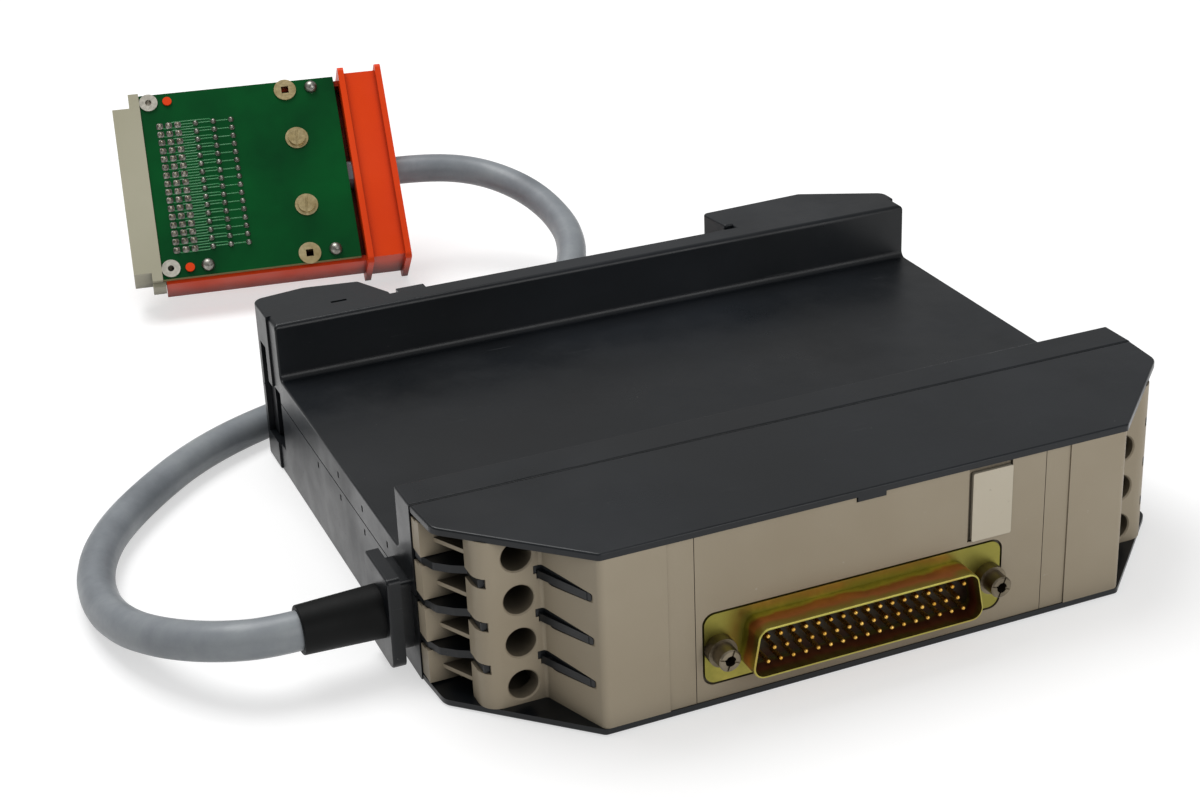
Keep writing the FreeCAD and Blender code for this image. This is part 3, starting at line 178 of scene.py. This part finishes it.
def add(tree, kind, inputs=None, stops=(), **settings):
    """One node: properties from settings, sockets from values or other outputs, stops for a ramp."""
    node = tree.nodes.new(kind)
    for key, value in settings.items():
        setattr(node, key, value)
    for key, value in (inputs or {}).items():
        if isinstance(value, bpy.types.NodeSocket):
            tree.links.new(value, node.inputs[key])
        else:
            node.inputs[key].default_value = value
    for place, (position, colour) in enumerate(stops):
        elements = node.color_ramp.elements
        element = elements[place] if place < len(elements) else elements.new(position)
        element.position = position
        element.color = srgb(colour)
    return node


def per_metre(size_mm):
    """Noise scale whose blobs are about size_mm across."""
    return 1 / (size_mm * MM)


def start_material(name):
    """A material with an empty tree, and the object coordinates that its patterns read."""
    material = bpy.data.materials.new(name)
    material.use_nodes = True
    tree = material.node_tree
    tree.nodes.clear()
    return material, tree, add(tree, "ShaderNodeTexCoord").outputs["Object"]


def finish_material(tree, **sockets):
    """Principled shader with the given sockets, and the output; blanks in names are underscores."""
    inputs = {key.replace("_", " "): value for key, value in sockets.items()}
    shader = add(tree, "ShaderNodeBsdfPrincipled", inputs)
    add(tree, "ShaderNodeOutputMaterial", {"Surface": shader.outputs[0]})


print("sRGB #808080 is linear %.3f" % srgb("#808080")[0])

# %% [markdown]
# ## Moulded plastics
# The housing is ABS, moulded in spark-eroded steel tools that leave a satin grain of a few tenths
# of a millimetre. Years of handling add three things that the eye reads as real: a slow drift of
# tint, shinier patches where hands and neighbouring modules rubbed, and pale lint in specks. Shade
# is painted in as well: an Ambient Occlusion node finds holes and inner corners, and the colour is
# darkened there as painted shade. One function serves all the mouldings, because only their colour,
# grain and gloss differ.

# %% Moulded plastic


def moulded_plastic(name, shades, rough, grain_mm, lint, lint_from, level=0.35):
    """Satin moulding: drifting tint, grain in the bump, polished patches, lint, painted shade in recesses."""
    material, tree, coords = start_material(name)
    slow = add(tree, "ShaderNodeTexNoise", {"Vector": coords, "Scale": per_metre(45), "Detail": 4.0})
    tint = add(tree, "ShaderNodeValToRGB", {"Fac": slow.outputs["Fac"]},
               stops=[(0.3, shades[0]), (0.7, shades[1])])
    specks = add(tree, "ShaderNodeTexNoise", {"Vector": coords, "Scale": per_metre(1.1), "Detail": 2.0})
    mask = add(tree, "ShaderNodeMapRange", {"Value": specks.outputs["Fac"], "From Min": lint_from,
                                            "From Max": lint_from + 0.06, "To Max": 0.5})
    linted = add(tree, "ShaderNodeMix", {0: mask.outputs[0], 6: tint.outputs[0], 7: srgb(lint)},
                 data_type="RGBA")
    # Painted shade: where ambient occlusion finds holes and inner corners, the colour is darkened to as little as
    # 0.12 of itself.
    corners = add(tree, "ShaderNodeAmbientOcclusion", {"Distance": 9 * MM}, samples=6)
    painted_shade = add(tree, "ShaderNodeMapRange", {"Value": corners.outputs["AO"], "From Min": 0.15,
                                            "From Max": 0.75, "To Min": 0.12, "To Max": 1.0})
    colour = add(tree, "ShaderNodeMix", {0: 1.0, 6: linted.outputs[2], 7: painted_shade.outputs[0]},
                 data_type="RGBA", blend_type="MULTIPLY")
    grain = add(tree, "ShaderNodeTexNoise", {"Vector": coords, "Scale": per_metre(grain_mm),
                                             "Detail": 2.0})
    touched = add(tree, "ShaderNodeTexNoise", {"Vector": coords, "Scale": per_metre(15), "Detail": 6.0})
    gloss = add(tree, "ShaderNodeMapRange", {"Value": touched.outputs["Fac"], "From Min": 0.35,
                                             "From Max": 0.65, "To Min": rough - 0.07,
                                             "To Max": rough + 0.07})
    relief = add(tree, "ShaderNodeBump", {"Height": grain.outputs["Fac"], "Distance": GRAIN_HEIGHT,
                                          "Strength": 0.5})
    finish_material(tree, Base_Color=colour.outputs[2], Roughness=gloss.outputs[0],
                    Normal=relief.outputs[0], IOR=1.5, Specular_IOR_Level=level)
    return material


# The beige front is moulded ABS that has yellowed unevenly; its deeper shade looks the older.
abs_beige = moulded_plastic("beige_abs_aged", ("#a0937d", "#aca08b"), rough=0.5, grain_mm=0.35,
                            lint="#c4bcae", lint_from=0.76)
# Handle and tray are moulded polycarbonate, smoother than the housing and strongly coloured.
case_orange = moulded_plastic("orange_polycarbonate", ("#e03a04", "#ec4606"), rough=0.42, grain_mm=0.5,
                              lint="#ee7038", lint_from=0.79, level=0.2)
# The board's connector is moulded from polyester with glass fibre, which makes it a chalky cream.
connector_cream = moulded_plastic("cream_polyester", ("#a8a48c", "#b6b29c"), rough=0.48, grain_mm=0.4,
                                  lint="#ccc8b6", lint_from=0.78)
# The label is a thin moulded plate that has taken a little dirt.
label_white = moulded_plastic("white_label_plate", ("#c9bfa9", "#d4cbb8"), rough=0.5, grain_mm=0.4,
                              lint="#a39a84", lint_from=0.72)
# The D-sub's insulator is a dark moulding deep in its shell, so little light comes back from it.
insulator_dark = moulded_plastic("dark_insulator", ("#14110d", "#1e1913"), rough=0.4, grain_mm=0.4,
                                 lint="#4a4338", lint_from=0.8)
# The cores have extruded PVC round them, and as a bundle they read as one mixed brown.
wire_pvc = moulded_plastic("pvc_cores", ("#6d5b48", "#9a8a74"), rough=0.45, grain_mm=0.5,
                           lint="#b0a692", lint_from=0.8)
# Moulded rubber swallows light: the boot is the blackest piece and has hardly a highlight.
boot_rubber = moulded_plastic("black_rubber_boot", ("#050606", "#0a0b0b"), rough=0.55, grain_mm=0.6,
                              lint="#2c2d2e", lint_from=0.82, level=0.15)
print("made", [m.name for m in (abs_beige, case_orange, connector_cream, label_white, insulator_dark,
                                wire_pvc, boot_rubber)])

# %% [markdown]
# ## The black housing
# Black ABS shows every touch. Besides the grain it carries hairline scratches, left by sliding the
# module along its rail and out of its carton, and they run more or less along its length. They are
# a noise that is stretched through a Mapping node, cut to thin lines by a narrow range, and they
# make the plastic duller and paler where the gloss was cut.

# %% Black ABS


def scratched_black(name):
    """Dark satin moulding with lint, polished patches and long hairline scratches."""
    material, tree, coords = start_material(name)
    slow = add(tree, "ShaderNodeTexNoise", {"Vector": coords, "Scale": per_metre(60), "Detail": 4.0})
    tint = add(tree, "ShaderNodeValToRGB", {"Fac": slow.outputs["Fac"]},
               stops=[(0.3, "#080b0e"), (0.5, "#0e1216"), (0.72, "#171b20")])
    turned = add(tree, "ShaderNodeMapping", {"Vector": coords, "Rotation": (0.0, 0.0, 0.32),
                                             "Scale": (1.0, 34.0, 34.0)})
    lines = add(tree, "ShaderNodeTexNoise", {"Vector": turned.outputs[0], "Scale": per_metre(26),
                                             "Detail": 3.0, "Roughness": 0.6})
    hairline = add(tree, "ShaderNodeMapRange", {"Value": lines.outputs["Fac"], "From Min": 0.71,
                                                "From Max": 0.74, "To Max": 0.4})
    scratched = add(tree, "ShaderNodeMix", {0: hairline.outputs[0], 6: tint.outputs[0],
                                            7: srgb("#4a4c4e")}, data_type="RGBA")
    specks = add(tree, "ShaderNodeTexNoise", {"Vector": coords, "Scale": per_metre(1.0), "Detail": 2.0})
    mask = add(tree, "ShaderNodeMapRange", {"Value": specks.outputs["Fac"], "From Min": 0.76,
                                            "From Max": 0.82, "To Max": 0.5})
    colour = add(tree, "ShaderNodeMix", {0: mask.outputs[0], 6: scratched.outputs[2],
                                         7: srgb("#7d7d79")}, data_type="RGBA")
    touched = add(tree, "ShaderNodeTexNoise", {"Vector": coords, "Scale": per_metre(22), "Detail": 6.0,
                                               "Roughness": 0.62})
    gloss = add(tree, "ShaderNodeMapRange", {"Value": touched.outputs["Fac"], "From Min": 0.35,
                                             "From Max": 0.65, "To Min": 0.27, "To Max": 0.42})
    dulled = add(tree, "ShaderNodeMath", {0: gloss.outputs[0], 1: hairline.outputs[0]}, operation="ADD")
    grain = add(tree, "ShaderNodeTexNoise", {"Vector": coords, "Scale": per_metre(0.35), "Detail": 2.0})
    relief = add(tree, "ShaderNodeBump", {"Height": grain.outputs["Fac"], "Distance": GRAIN_HEIGHT,
                                          "Strength": 0.5})
    finish_material(tree, Base_Color=colour.outputs[2], Roughness=dulled.outputs[0],
                    Normal=relief.outputs[0], IOR=1.46, Specular_IOR_Level=0.4)
    return material


abs_black = scratched_black("black_abs_satin")
print("made", abs_black.name)

# %% [markdown]
# ## The cable's jacket
# Flexible PVC is drawn through a die, so it is smooth along its length and takes a soft sheen.
# The cores inside press through a little, which gives the jacket faint lengthwise unevenness and
# greyer, handled patches.

# %% Grey PVC


def drawn_jacket(name):
    """Grey jacket with smudges of a few centimetres and a soft waviness from the cores below."""
    material, tree, coords = start_material(name)
    smudge = add(tree, "ShaderNodeTexNoise", {"Vector": coords, "Scale": per_metre(24), "Detail": 6.0,
                                              "Roughness": 0.65})
    tint = add(tree, "ShaderNodeValToRGB", {"Fac": smudge.outputs["Fac"]},
               stops=[(0.32, "#74797e"), (0.5, "#868b90"), (0.7, "#979c9f")])
    gloss = add(tree, "ShaderNodeMapRange", {"Value": smudge.outputs["Fac"], "From Min": 0.35,
                                             "From Max": 0.65, "To Min": 0.46, "To Max": 0.34})
    cores = add(tree, "ShaderNodeTexNoise", {"Vector": coords, "Scale": per_metre(5), "Detail": 3.0})
    relief = add(tree, "ShaderNodeBump", {"Height": cores.outputs["Fac"], "Distance": 0.12 * MM,
                                          "Strength": 0.6})
    finish_material(tree, Base_Color=tint.outputs[0], Roughness=gloss.outputs[0],
                    Normal=relief.outputs[0], IOR=1.5, Specular_IOR_Level=0.4)
    return material


cable_pvc = drawn_jacket("grey_pvc_jacket")
print("made", cable_pvc.name)

# %% [markdown]
# ## Plated and soft metals
# Nickel, brass, gold, spring steel and solder are all plain metals whose colour and gloss wander
# a little over a few millimetres, as handling and tarnish leave them. Metals keep the shader's
# default IOR; their colour is the reflection's own.

# %% Metals


def tarnished_metal(name, shades, rough, patch_mm=6.0):
    """Metal whose colour wanders between two shades, with a fine uneven surface."""
    material, tree, coords = start_material(name)
    patches = add(tree, "ShaderNodeTexNoise", {"Vector": coords, "Scale": per_metre(patch_mm),
                                               "Detail": 5.0})
    tint = add(tree, "ShaderNodeValToRGB", {"Fac": patches.outputs["Fac"]},
               stops=[(0.35, shades[0]), (0.65, shades[1])])
    fine = add(tree, "ShaderNodeTexNoise", {"Vector": coords, "Scale": per_metre(patch_mm / 8),
                                            "Detail": 3.0})
    gloss = add(tree, "ShaderNodeMapRange", {"Value": fine.outputs["Fac"], "From Min": 0.3,
                                             "From Max": 0.7, "To Min": rough - 0.06,
                                             "To Max": rough + 0.1})
    relief = add(tree, "ShaderNodeBump", {"Height": fine.outputs["Fac"], "Distance": GRAIN_HEIGHT,
                                          "Strength": 0.5})
    finish_material(tree, Base_Color=tint.outputs[0], Metallic=1.0, Roughness=gloss.outputs[0],
                    Normal=relief.outputs[0])
    return material


# Nickel plate on turned screws has gone brownish and half dull.
dull_nickel = tarnished_metal("nickel_plated_steel", ("#5d5547", "#857b69"), rough=0.38)
# Gold doesn't tarnish, so the contacts are the brightest metal here.
gold_plate = tarnished_metal("gold_plated_contact", ("#c8963c", "#e6bd66"), rough=0.26)
# Turned brass that was handled loses its yellow and its polish.
pale_brass = tarnished_metal("dull_brass", ("#a8966c", "#c6b78f"), rough=0.42)
# The connector's rivets were tinned, and a tin coat stays pale.
tinned_rivet = tarnished_metal("tinned_brass_rivet", ("#b4b0a4", "#d6d2c6"), rough=0.4)
# Solder froze in beads of about a millimetre, each a little lighter or darker than the next.
solder_tin = tarnished_metal("tin_solder", ("#6d6b64", "#a9a79f"), rough=0.36, patch_mm=1.2)
# Spring wire is drawn and oiled, so it keeps an even grey shine.
spring_wire = tarnished_metal("spring_steel_wire", ("#8a8a88", "#a6a6a4"), rough=0.3)
print("made", [m.name for m in (dull_nickel, gold_plate, pale_brass, tinned_rivet, solder_tin,
                                spring_wire)])

# %% [markdown]
# ## Yellow chromate
# The D-sub shell is zinc plated steel with a chromate film about as thick as a wavelength of
# light, so its colour turns with the thickness: olive on the flat flange, red-brown where the
# bath drained off the shroud's sides, bright yellow-green on the drawn lip. The distance out of
# the flange picks the colour, and a slow noise keeps the bands from being straight.

# %% Chromated steel
FLANGE_DEPTH = 1.0 * MM


def chromated_steel(name, flange_y, lip_y):
    """Zinc whose film colour follows the depth from flange to lip, moved a little by noise."""
    material, tree, coords = start_material(name)
    place = add(tree, "ShaderNodeSeparateXYZ", {0: coords})
    drawn = add(tree, "ShaderNodeMapRange", {"Value": place.outputs["Y"], "From Min": flange_y,
                                             "From Max": lip_y})
    drift = add(tree, "ShaderNodeTexNoise", {"Vector": coords, "Scale": per_metre(9), "Detail": 5.0,
                                             "Roughness": 0.6})
    shifted = add(tree, "ShaderNodeMapRange", {"Value": drift.outputs["Fac"], "From Min": 0.3,
                                               "From Max": 0.7, "To Min": -0.16, "To Max": 0.16})
    film = add(tree, "ShaderNodeMath", {0: drawn.outputs[0], 1: shifted.outputs[0]}, operation="ADD")
    tint = add(tree, "ShaderNodeValToRGB", {"Fac": film.outputs[0]},
               stops=[(0.0, "#8a8440"), (0.14, "#a3984c"), (0.3, "#a05f40"), (0.62, "#c47a52"),
                      (0.82, "#a8904a"), (1.0, "#a8a052")])
    fine = add(tree, "ShaderNodeTexNoise", {"Vector": coords, "Scale": per_metre(1.5), "Detail": 4.0})
    gloss = add(tree, "ShaderNodeMapRange", {"Value": fine.outputs["Fac"], "To Min": 0.28,
                                             "To Max": 0.5})
    relief = add(tree, "ShaderNodeBump", {"Height": fine.outputs["Fac"], "Distance": GRAIN_HEIGHT,
                                          "Strength": 0.4})
    finish_material(tree, Base_Color=tint.outputs[0], Metallic=1.0, Roughness=gloss.outputs[0],
                    Normal=relief.outputs[0])
    return material


dsub_low, dsub_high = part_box("dsub_shell")
yellow_chromate = chromated_steel("yellow_chromated_steel", dsub_high[1] - FLANGE_DEPTH, dsub_low[1])
print("shroud stands out %.1f mm" % ((dsub_high[1] - dsub_low[1]) / MM))

# %% [markdown]
# ## The circuit board
# Green solder resist over woven glass laminate: its face is glossy and deep green, while the cut
# edges show the bare straw-coloured laminate. The face is told from the edge by how far the
# surface's normal lies from the board's own.

# %% Solder resist
PLUG_YAW = math.radians(-9.2)     # the plug's turn on the floor
PLUG_LEAN = math.radians(40.0)    # how far it leans back from upright
PLUG_TURN = Matrix.Rotation(PLUG_YAW, 3, "Z") @ Matrix.Rotation(math.pi / 2 - PLUG_LEAN, 3, "X")


def laminate(name, facing):
    """Green within about 25 degrees of the facing vector or of its opposite, straw at the edges."""
    material, tree, coords = start_material(name)
    normal = add(tree, "ShaderNodeNewGeometry").outputs["Normal"]
    dot = add(tree, "ShaderNodeVectorMath", {0: normal, 1: tuple(facing)}, operation="DOT_PRODUCT")
    size = add(tree, "ShaderNodeMath", {0: dot.outputs["Value"]}, operation="ABSOLUTE")
    face = add(tree, "ShaderNodeMapRange", {"Value": size.outputs[0], "From Min": 0.85,
                                            "From Max": 0.95})
    slow = add(tree, "ShaderNodeTexNoise", {"Vector": coords, "Scale": per_metre(22), "Detail": 3.0})
    green = add(tree, "ShaderNodeValToRGB", {"Fac": slow.outputs["Fac"]},
                stops=[(0.3, "#013d1b"), (0.7, "#025524")])
    colour = add(tree, "ShaderNodeMix", {0: face.outputs[0], 6: srgb("#8f8a62"), 7: green.outputs[0]},
                 data_type="RGBA")
    gloss = add(tree, "ShaderNodeMapRange", {"Value": face.outputs[0], "To Min": 0.6, "To Max": 0.28})
    # Glass cloth has a weave of about 0.5 mm, which shows as a faint orange-peel in the resist.
    weave = add(tree, "ShaderNodeTexNoise", {"Vector": coords, "Scale": per_metre(0.6), "Detail": 2.0})
    relief = add(tree, "ShaderNodeBump", {"Height": weave.outputs["Fac"], "Distance": GRAIN_HEIGHT,
                                          "Strength": 0.4})
    finish_material(tree, Base_Color=colour.outputs[2], Roughness=gloss.outputs[0],
                    Normal=relief.outputs[0], IOR=1.5, Specular_IOR_Level=0.12)
    return material


board_green = laminate("solder_resist_green", PLUG_TURN @ Vector((0, 0, 1)))
# The board that the D-sub is soldered to stands upright behind it, inside the housing.
inner_board = laminate("solder_board_laminate", Vector((0, 1, 0)))
# Resist over copper lies 35 microns higher and looks paler, because the metal sends light back.
track_green = moulded_plastic("resist_over_copper", ("#1f6f3c", "#2b7f48"), rough=0.32, grain_mm=0.6,
                              lint="#3f8f58", lint_from=0.9)
print("made", board_green.name, track_green.name)

# %% [markdown]
# ## Finishes onto the nodes
# The record gives every node a material slot, so one table turns slots into finishes. Two nodes
# share a slot with pieces that look different, and get their own.

# %% Finishes onto the nodes
FINISHES = {
    "black_housing": abs_black, "beige_cover": abs_beige, "label_white": label_white,
    "yellow_zinc": yellow_chromate, "gold_contact": gold_plate, "insulator": insulator_dark,
    "nickel": dull_nickel, "board_green": board_green, "brass_plated": pale_brass,
    "rubber_boot": boot_rubber, "cable_grey": cable_pvc, "wire_insulation": wire_pvc,
    "connector_cream": connector_cream, "case_orange": case_orange, "solder_tin": solder_tin,
    "spring_steel": spring_wire,
}
SPECIAL_FINISHES = {"solder_board": inner_board, "plug_rivets": tinned_rivet}


def finish_nodes():
    """Every CAD node takes its own finish, or else that of its material slot in the record."""
    slots = {entry["node"]: entry["material_slot"] for entry in frame["record"]["subparts"]}
    for name, node in frame["nodes"].items():
        material = SPECIAL_FINISHES.get(name, FINISHES[slots[name]])
        node.data.materials.clear()
        node.data.materials.append(material)
    return len(slots)


cable.data.materials.append(cable_pvc)
print("finished nodes", finish_nodes())

# %% [markdown]
# ## The latch spring
# Behind the sprung rail latch a coil spring stands between a wall of the housing and the slide.
# The slide is pulled out against it, so its far end follows the slide while its near end stays.
# A piece that rode on either body would cut through the other. The coil is therefore a piece of
# its own with the node's shape, carried by the module; the joint's travel is read, but the coil is
# not shortened by it. A CAD mesh is loose triangles, so the copy is merged at its shared corners first.

# %% Latch spring


def make_latch_coil():
    """The spring as a piece of its own, merged at its shared corners; returns its length and the latch's travel.
    """
    node = frame["nodes"]["latch_spring"]
    wall_end, slide_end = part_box("latch_spring")
    travel = next(j for j in frame["joints"] if j["name"] == "latch_pull")["range_m"][1]
    mesh = node.data.copy()
    merged = bmesh.new()
    merged.from_mesh(mesh)
    bmesh.ops.remove_doubles(merged, verts=merged.verts, dist=0.001 * MM)
    merged.to_mesh(mesh)
    merged.free()
    coil = bpy.data.objects.new("latch_coil", mesh)
    bpy.context.scene.collection.objects.link(coil)
    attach(coil, "module")
    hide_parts("latch_spring")
    length = slide_end[0] - wall_end[0]
    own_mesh(coil)
    return length, travel


print("spring of %.1f mm gives %.1f mm" % tuple(x / MM for x in make_latch_coil()))

# %% [markdown]
# ## Where the board's details go
# The solder and the tracks are laid out flat on the board, along its u and w edges and up its
# normal d, and then leaned back with it. The board's own corner, read from its node and turned
# flat, ties that layout to the CAD: the first contact is 4.8 mm and 8.3 mm in from the corner.

# %% Board layout
GRID = 2.54               # millimetres, as are all places on the flat board
ROWS = 16
CONTACT_COLUMNS = np.arange(3) * GRID
WIRE_COLUMNS = np.array((4, 6, 8)) * GRID
FIRST_CONTACT = np.array((4.8, 8.3)) * MM
TURN = np.array(PLUG_TURN)


def mesh_points(mesh):
    """All vertices of a mesh as an array of n by 3."""
    points = np.empty(len(mesh.vertices) * 3)
    mesh.vertices.foreach_get("co", points)
    return points.reshape(-1, 3)


flat_board = mesh_points(frame["nodes"]["plug_board"].data) @ TURN
board_low, board_high = flat_board.min(axis=0), flat_board.max(axis=0)
BOARD_ORIGIN = np.array((*(board_low[:2] + FIRST_CONTACT), board_high[2]))


def onto_board(points_mm):
    """Flat board places in millimetres to places in the frame, in metres."""
    return (points_mm * MM + BOARD_ORIGIN) @ TURN.T


def mesh_piece(name, vertices, faces, material):
    """A smooth shaded piece of the module from arrays of vertices and of same-sized faces."""
    mesh = bpy.data.meshes.new(name)
    mesh.from_pydata(vertices.tolist(), [], faces.tolist())
    mesh.polygons.foreach_set("use_smooth", np.ones(len(mesh.polygons), dtype=bool))
    mesh.update()
    mesh.materials.append(material)
    piece = bpy.data.objects.new(name, mesh)
    bpy.context.scene.collection.objects.link(piece)
    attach(piece, "module")
    return piece


print("board is %.1f by %.1f mm" % tuple((board_high - board_low)[:2] / MM))

# %% [markdown]
# ## Solder joints
# Every contact tail and wire pin ends in a small cone of solder on a tinned pad. There are nearly
# a hundred, so each is a profile turned about its pin in a dozen steps: radius and height per
# ring, and on the connector's pads a squared-off outline, radius divided by the fourth root of
# the fourth powers of sine and cosine.

# %% Solder
STEPS = 12
PIN_RADIUS = 0.55
CONTACT_PAD_RADIUS = 1.0
WIRE_PAD_RADIUS = 0.85
PIN_PROFILE = np.array([(1.0, 0.0), (1.0, 0.07), (0.8, 0.16), (0.56, 0.45), (0.46, 0.78), (0.28, 0.9),
                        (0.0, 0.93)])


def solder_joints(name, columns, pad_radius, power):
    """Rings of a profile about each place: x = r f(a) cos a, y = r f(a) sin a, z = height.

    f(a) = 1 / (|cos a|^p + |sin a|^p)^(1/p) on the flat pad and fades to 1 at the pin.
    """
    angle = np.linspace(0, 2 * math.pi, STEPS, endpoint=False) + math.pi / STEPS
    square = (np.abs(np.cos(angle)) ** power + np.abs(np.sin(angle)) ** power) ** (-1 / power)
    radius = PIN_PROFILE[:, 0].copy()
    radius[:2] = pad_radius
    share = np.clip((radius - PIN_RADIUS) / (pad_radius - PIN_RADIUS), 0, 1)[:, None]
    reach = radius[:, None] * (share * square + 1 - share)
    height = np.repeat(PIN_PROFILE[:, 1:], STEPS, axis=1)
    joint = np.stack([reach * np.cos(angle), reach * np.sin(angle), height], axis=-1).reshape(-1, 3)
    u, w = np.meshgrid(columns, np.arange(ROWS) * GRID)
    places = np.stack([u.ravel(), w.ravel(), np.zeros(u.size)], axis=-1)
    vertices = (places[:, None] + joint[None]).reshape(-1, 3)
    ring, step = np.meshgrid(np.arange(len(PIN_PROFILE) - 1), np.arange(STEPS), indexing="ij")
    here, beside = ring * STEPS + step, ring * STEPS + (step + 1) % STEPS
    quads = np.stack([here, beside, beside + STEPS, here + STEPS], axis=-1).reshape(-1, 4)
    faces = (quads[None] + (np.arange(len(places)) * len(joint))[:, None, None]).reshape(-1, 4)
    return mesh_piece(name, onto_board(vertices), faces, solder_tin)


contact_solder = solder_joints("contact_solder", CONTACT_COLUMNS, CONTACT_PAD_RADIUS, 4.0)
wire_solder = solder_joints("wire_solder", WIRE_COLUMNS, WIRE_PAD_RADIUS, 2.0)
print("solder faces", len(contact_solder.data.polygons) + len(wire_solder.data.polygons))

# %% [markdown]
# ## Copper tracks
# Each row of the board joins three contacts to three wire pins. The middle track is straight, and
# the other two step aside so that they pass between the pads of neighbouring rows. A track is a
# low box profile carried along four points; at each point it is shifted along the mean of its two
# sides' normals, so its corners mitre.

# %% Tracks
TRACK_WIDTH = 0.42
TRACK_HEIGHT = 0.06
SIDE_STEP = 0.9           # a track's distance from its row where it passes other rows' pads
STRAIGHT = 1.1            # from a contact or a pin to where the track steps aside


def track_paths():
    """Four points for every track: contact, step aside, step back, wire pin."""
    w = np.arange(ROWS) * GRID
    rows = np.ones(ROWS)
    paths = []
    for column, aside in enumerate((-SIDE_STEP, SIDE_STEP, 0.0)):
        start, end = CONTACT_COLUMNS[column], WIRE_COLUMNS[column]
        along = (start, start + STRAIGHT, end - STRAIGHT, end)
        across = (w, w + aside, w + aside, w)
        paths.append(np.stack([np.outer(rows, along), np.stack(across, axis=1)], axis=-1))
    return np.concatenate(paths)


def ribbon(paths, width, height):
    """Vertices: point plus or minus half the width along the local normal, low and high."""
    along = np.diff(paths, axis=1)
    along = along / np.linalg.norm(along, axis=-1, keepdims=True)
    normal = np.stack([-along[..., 1], along[..., 0]], axis=-1)
    mean = np.concatenate([normal[:, :1], normal[:, :-1] + normal[:, 1:], normal[:, -1:]], axis=1)
    mean = mean / np.linalg.norm(mean, axis=-1, keepdims=True)
    left, right = paths + mean * width / 2, paths - mean * width / 2
    low, high = np.zeros(paths.shape[:2])[..., None], np.full(paths.shape[:2], height)[..., None]
    pairs = ((left, low), (left, high), (right, high), (right, low))
    corners = [np.concatenate(pair, axis=-1) for pair in pairs]
    return np.stack(corners, axis=2).reshape(-1, 3)


def ribbon_faces(count, points):
    """Four quads per span, between one point's four corners and the next's, and a quad at each end."""
    span, side = np.meshgrid(np.arange(points - 1), np.arange(4), indexing="ij")
    here, beside = span * 4 + side, span * 4 + (side + 1) % 4
    walls = np.stack([here, here + 4, beside + 4, beside], axis=-1).reshape(-1, 4)
    last = 4 * (points - 1)
    ends = np.array([(0, 1, 2, 3), (last + 3, last + 2, last + 1, last)])
    one = np.concatenate([walls, ends])
    return (one[None] + (np.arange(count) * 4 * points)[:, None, None]).reshape(-1, 4)


paths = track_paths()
tracks = mesh_piece("copper_tracks", onto_board(ribbon(paths, TRACK_WIDTH, TRACK_HEIGHT)),
                    ribbon_faces(len(paths), paths.shape[1]), track_green)
print("tracks", len(paths), "faces", len(tracks.data.polygons))

# %% [markdown]
# ## Floor
# A product picture on white has a pale sheet under the object. It glows a little where the camera
# or a reflection sees it, which the Light Path node tells apart, so the sheet reads as white and
# keeps a soft shadow, yet throws no extra light on the object.

# %% Floor
FLOOR_HALF = 4.0
FLOOR_DROP = 0.2 * MM
FLOOR_GLOW = 0.55


def make_floor():
    """A square sheet; to the camera, to reflections and through glass it also glows a little."""
    mesh = bpy.data.meshes.new("floor")
    corners = [(-1, -1), (1, -1), (1, 1), (-1, 1)]
    mesh.from_pydata([(x * FLOOR_HALF, y * FLOOR_HALF, -FLOOR_DROP) for x, y in corners], [],
                     [(0, 1, 2, 3)])
    sheet = bpy.data.objects.new("floor", mesh)
    bpy.context.scene.collection.objects.link(sheet)
    material, tree, _ = start_material("white_paper_sheet")
    path = add(tree, "ShaderNodeLightPath")
    seen = add(tree, "ShaderNodeMath", {0: path.outputs["Is Camera Ray"],
                                        1: path.outputs["Is Glossy Ray"]}, operation="MAXIMUM")
    shown = add(tree, "ShaderNodeMath", {0: seen.outputs[0], 1: path.outputs["Is Transmission Ray"]},
                operation="MAXIMUM")
    glow = add(tree, "ShaderNodeMath", {0: shown.outputs[0], 1: FLOOR_GLOW}, operation="MULTIPLY")
    finish_material(tree, Base_Color=srgb("#c2c2c2"), Roughness=0.9, Emission_Color=srgb("#ffffff"),
                    Emission_Strength=glow.outputs[0])
    mesh.materials.append(material)
    return sheet


floor = make_floor()
print("floor of %.0f m" % floor.dimensions.x)

# %% [markdown]
# ## Lamps
# Two square area lamps make the light soft, because a shadow's edge is as wide as the lamp looks
# from the object. The overhead one gives the shape, and the card lifts the beige front. An even
# white world fills the rest. The Standard view keeps the hex colours as they were given.

# %% Lamps
OVERHEAD_PLACE, OVERHEAD_WATTS = (-0.2, 0.45, 1.1), 9
CARD_PLACE, CARD_WATTS = (0.3, -1.0, 0.45), 3.4
LAMP_SIZE = 0.7
WORLD_STRENGTH = 0.38


def soft_lamp(name, place, aim, power):
    """A square area lamp that faces its aim."""
    data = bpy.data.lights.new(name, "AREA")
    data.size = LAMP_SIZE
    data.energy = power
    lamp = bpy.data.objects.new(name, data)
    bpy.context.scene.collection.objects.link(lamp)
    lamp.location = place
    lamp.rotation_euler = (Vector(aim) - Vector(place)).to_track_quat("-Z", "Y").to_euler()
    return lamp


def make_world(strength):
    """Even white surroundings."""
    world = bpy.data.worlds.new("studio")
    world.use_nodes = True
    bpy.context.scene.world = world
    background = world.node_tree.nodes["Background"]
    background.inputs["Color"].default_value = (1, 1, 1, 1)
    background.inputs["Strength"].default_value = strength
    return world


soft_lamp("overhead", OVERHEAD_PLACE, (0, 0.02, 0), OVERHEAD_WATTS)
soft_lamp("front_card", CARD_PLACE, (0, 0, 0), CARD_WATTS)
make_world(WORLD_STRENGTH)
bpy.context.scene.view_settings.view_transform = "Standard"
print("lamps of %.1f and %.1f W" % (OVERHEAD_WATTS, CARD_WATTS))

# %% [markdown]
# ## The end
# The last cell brings the scene's placements up to date.

# %% The end of the script
bpy.context.view_layer.update()
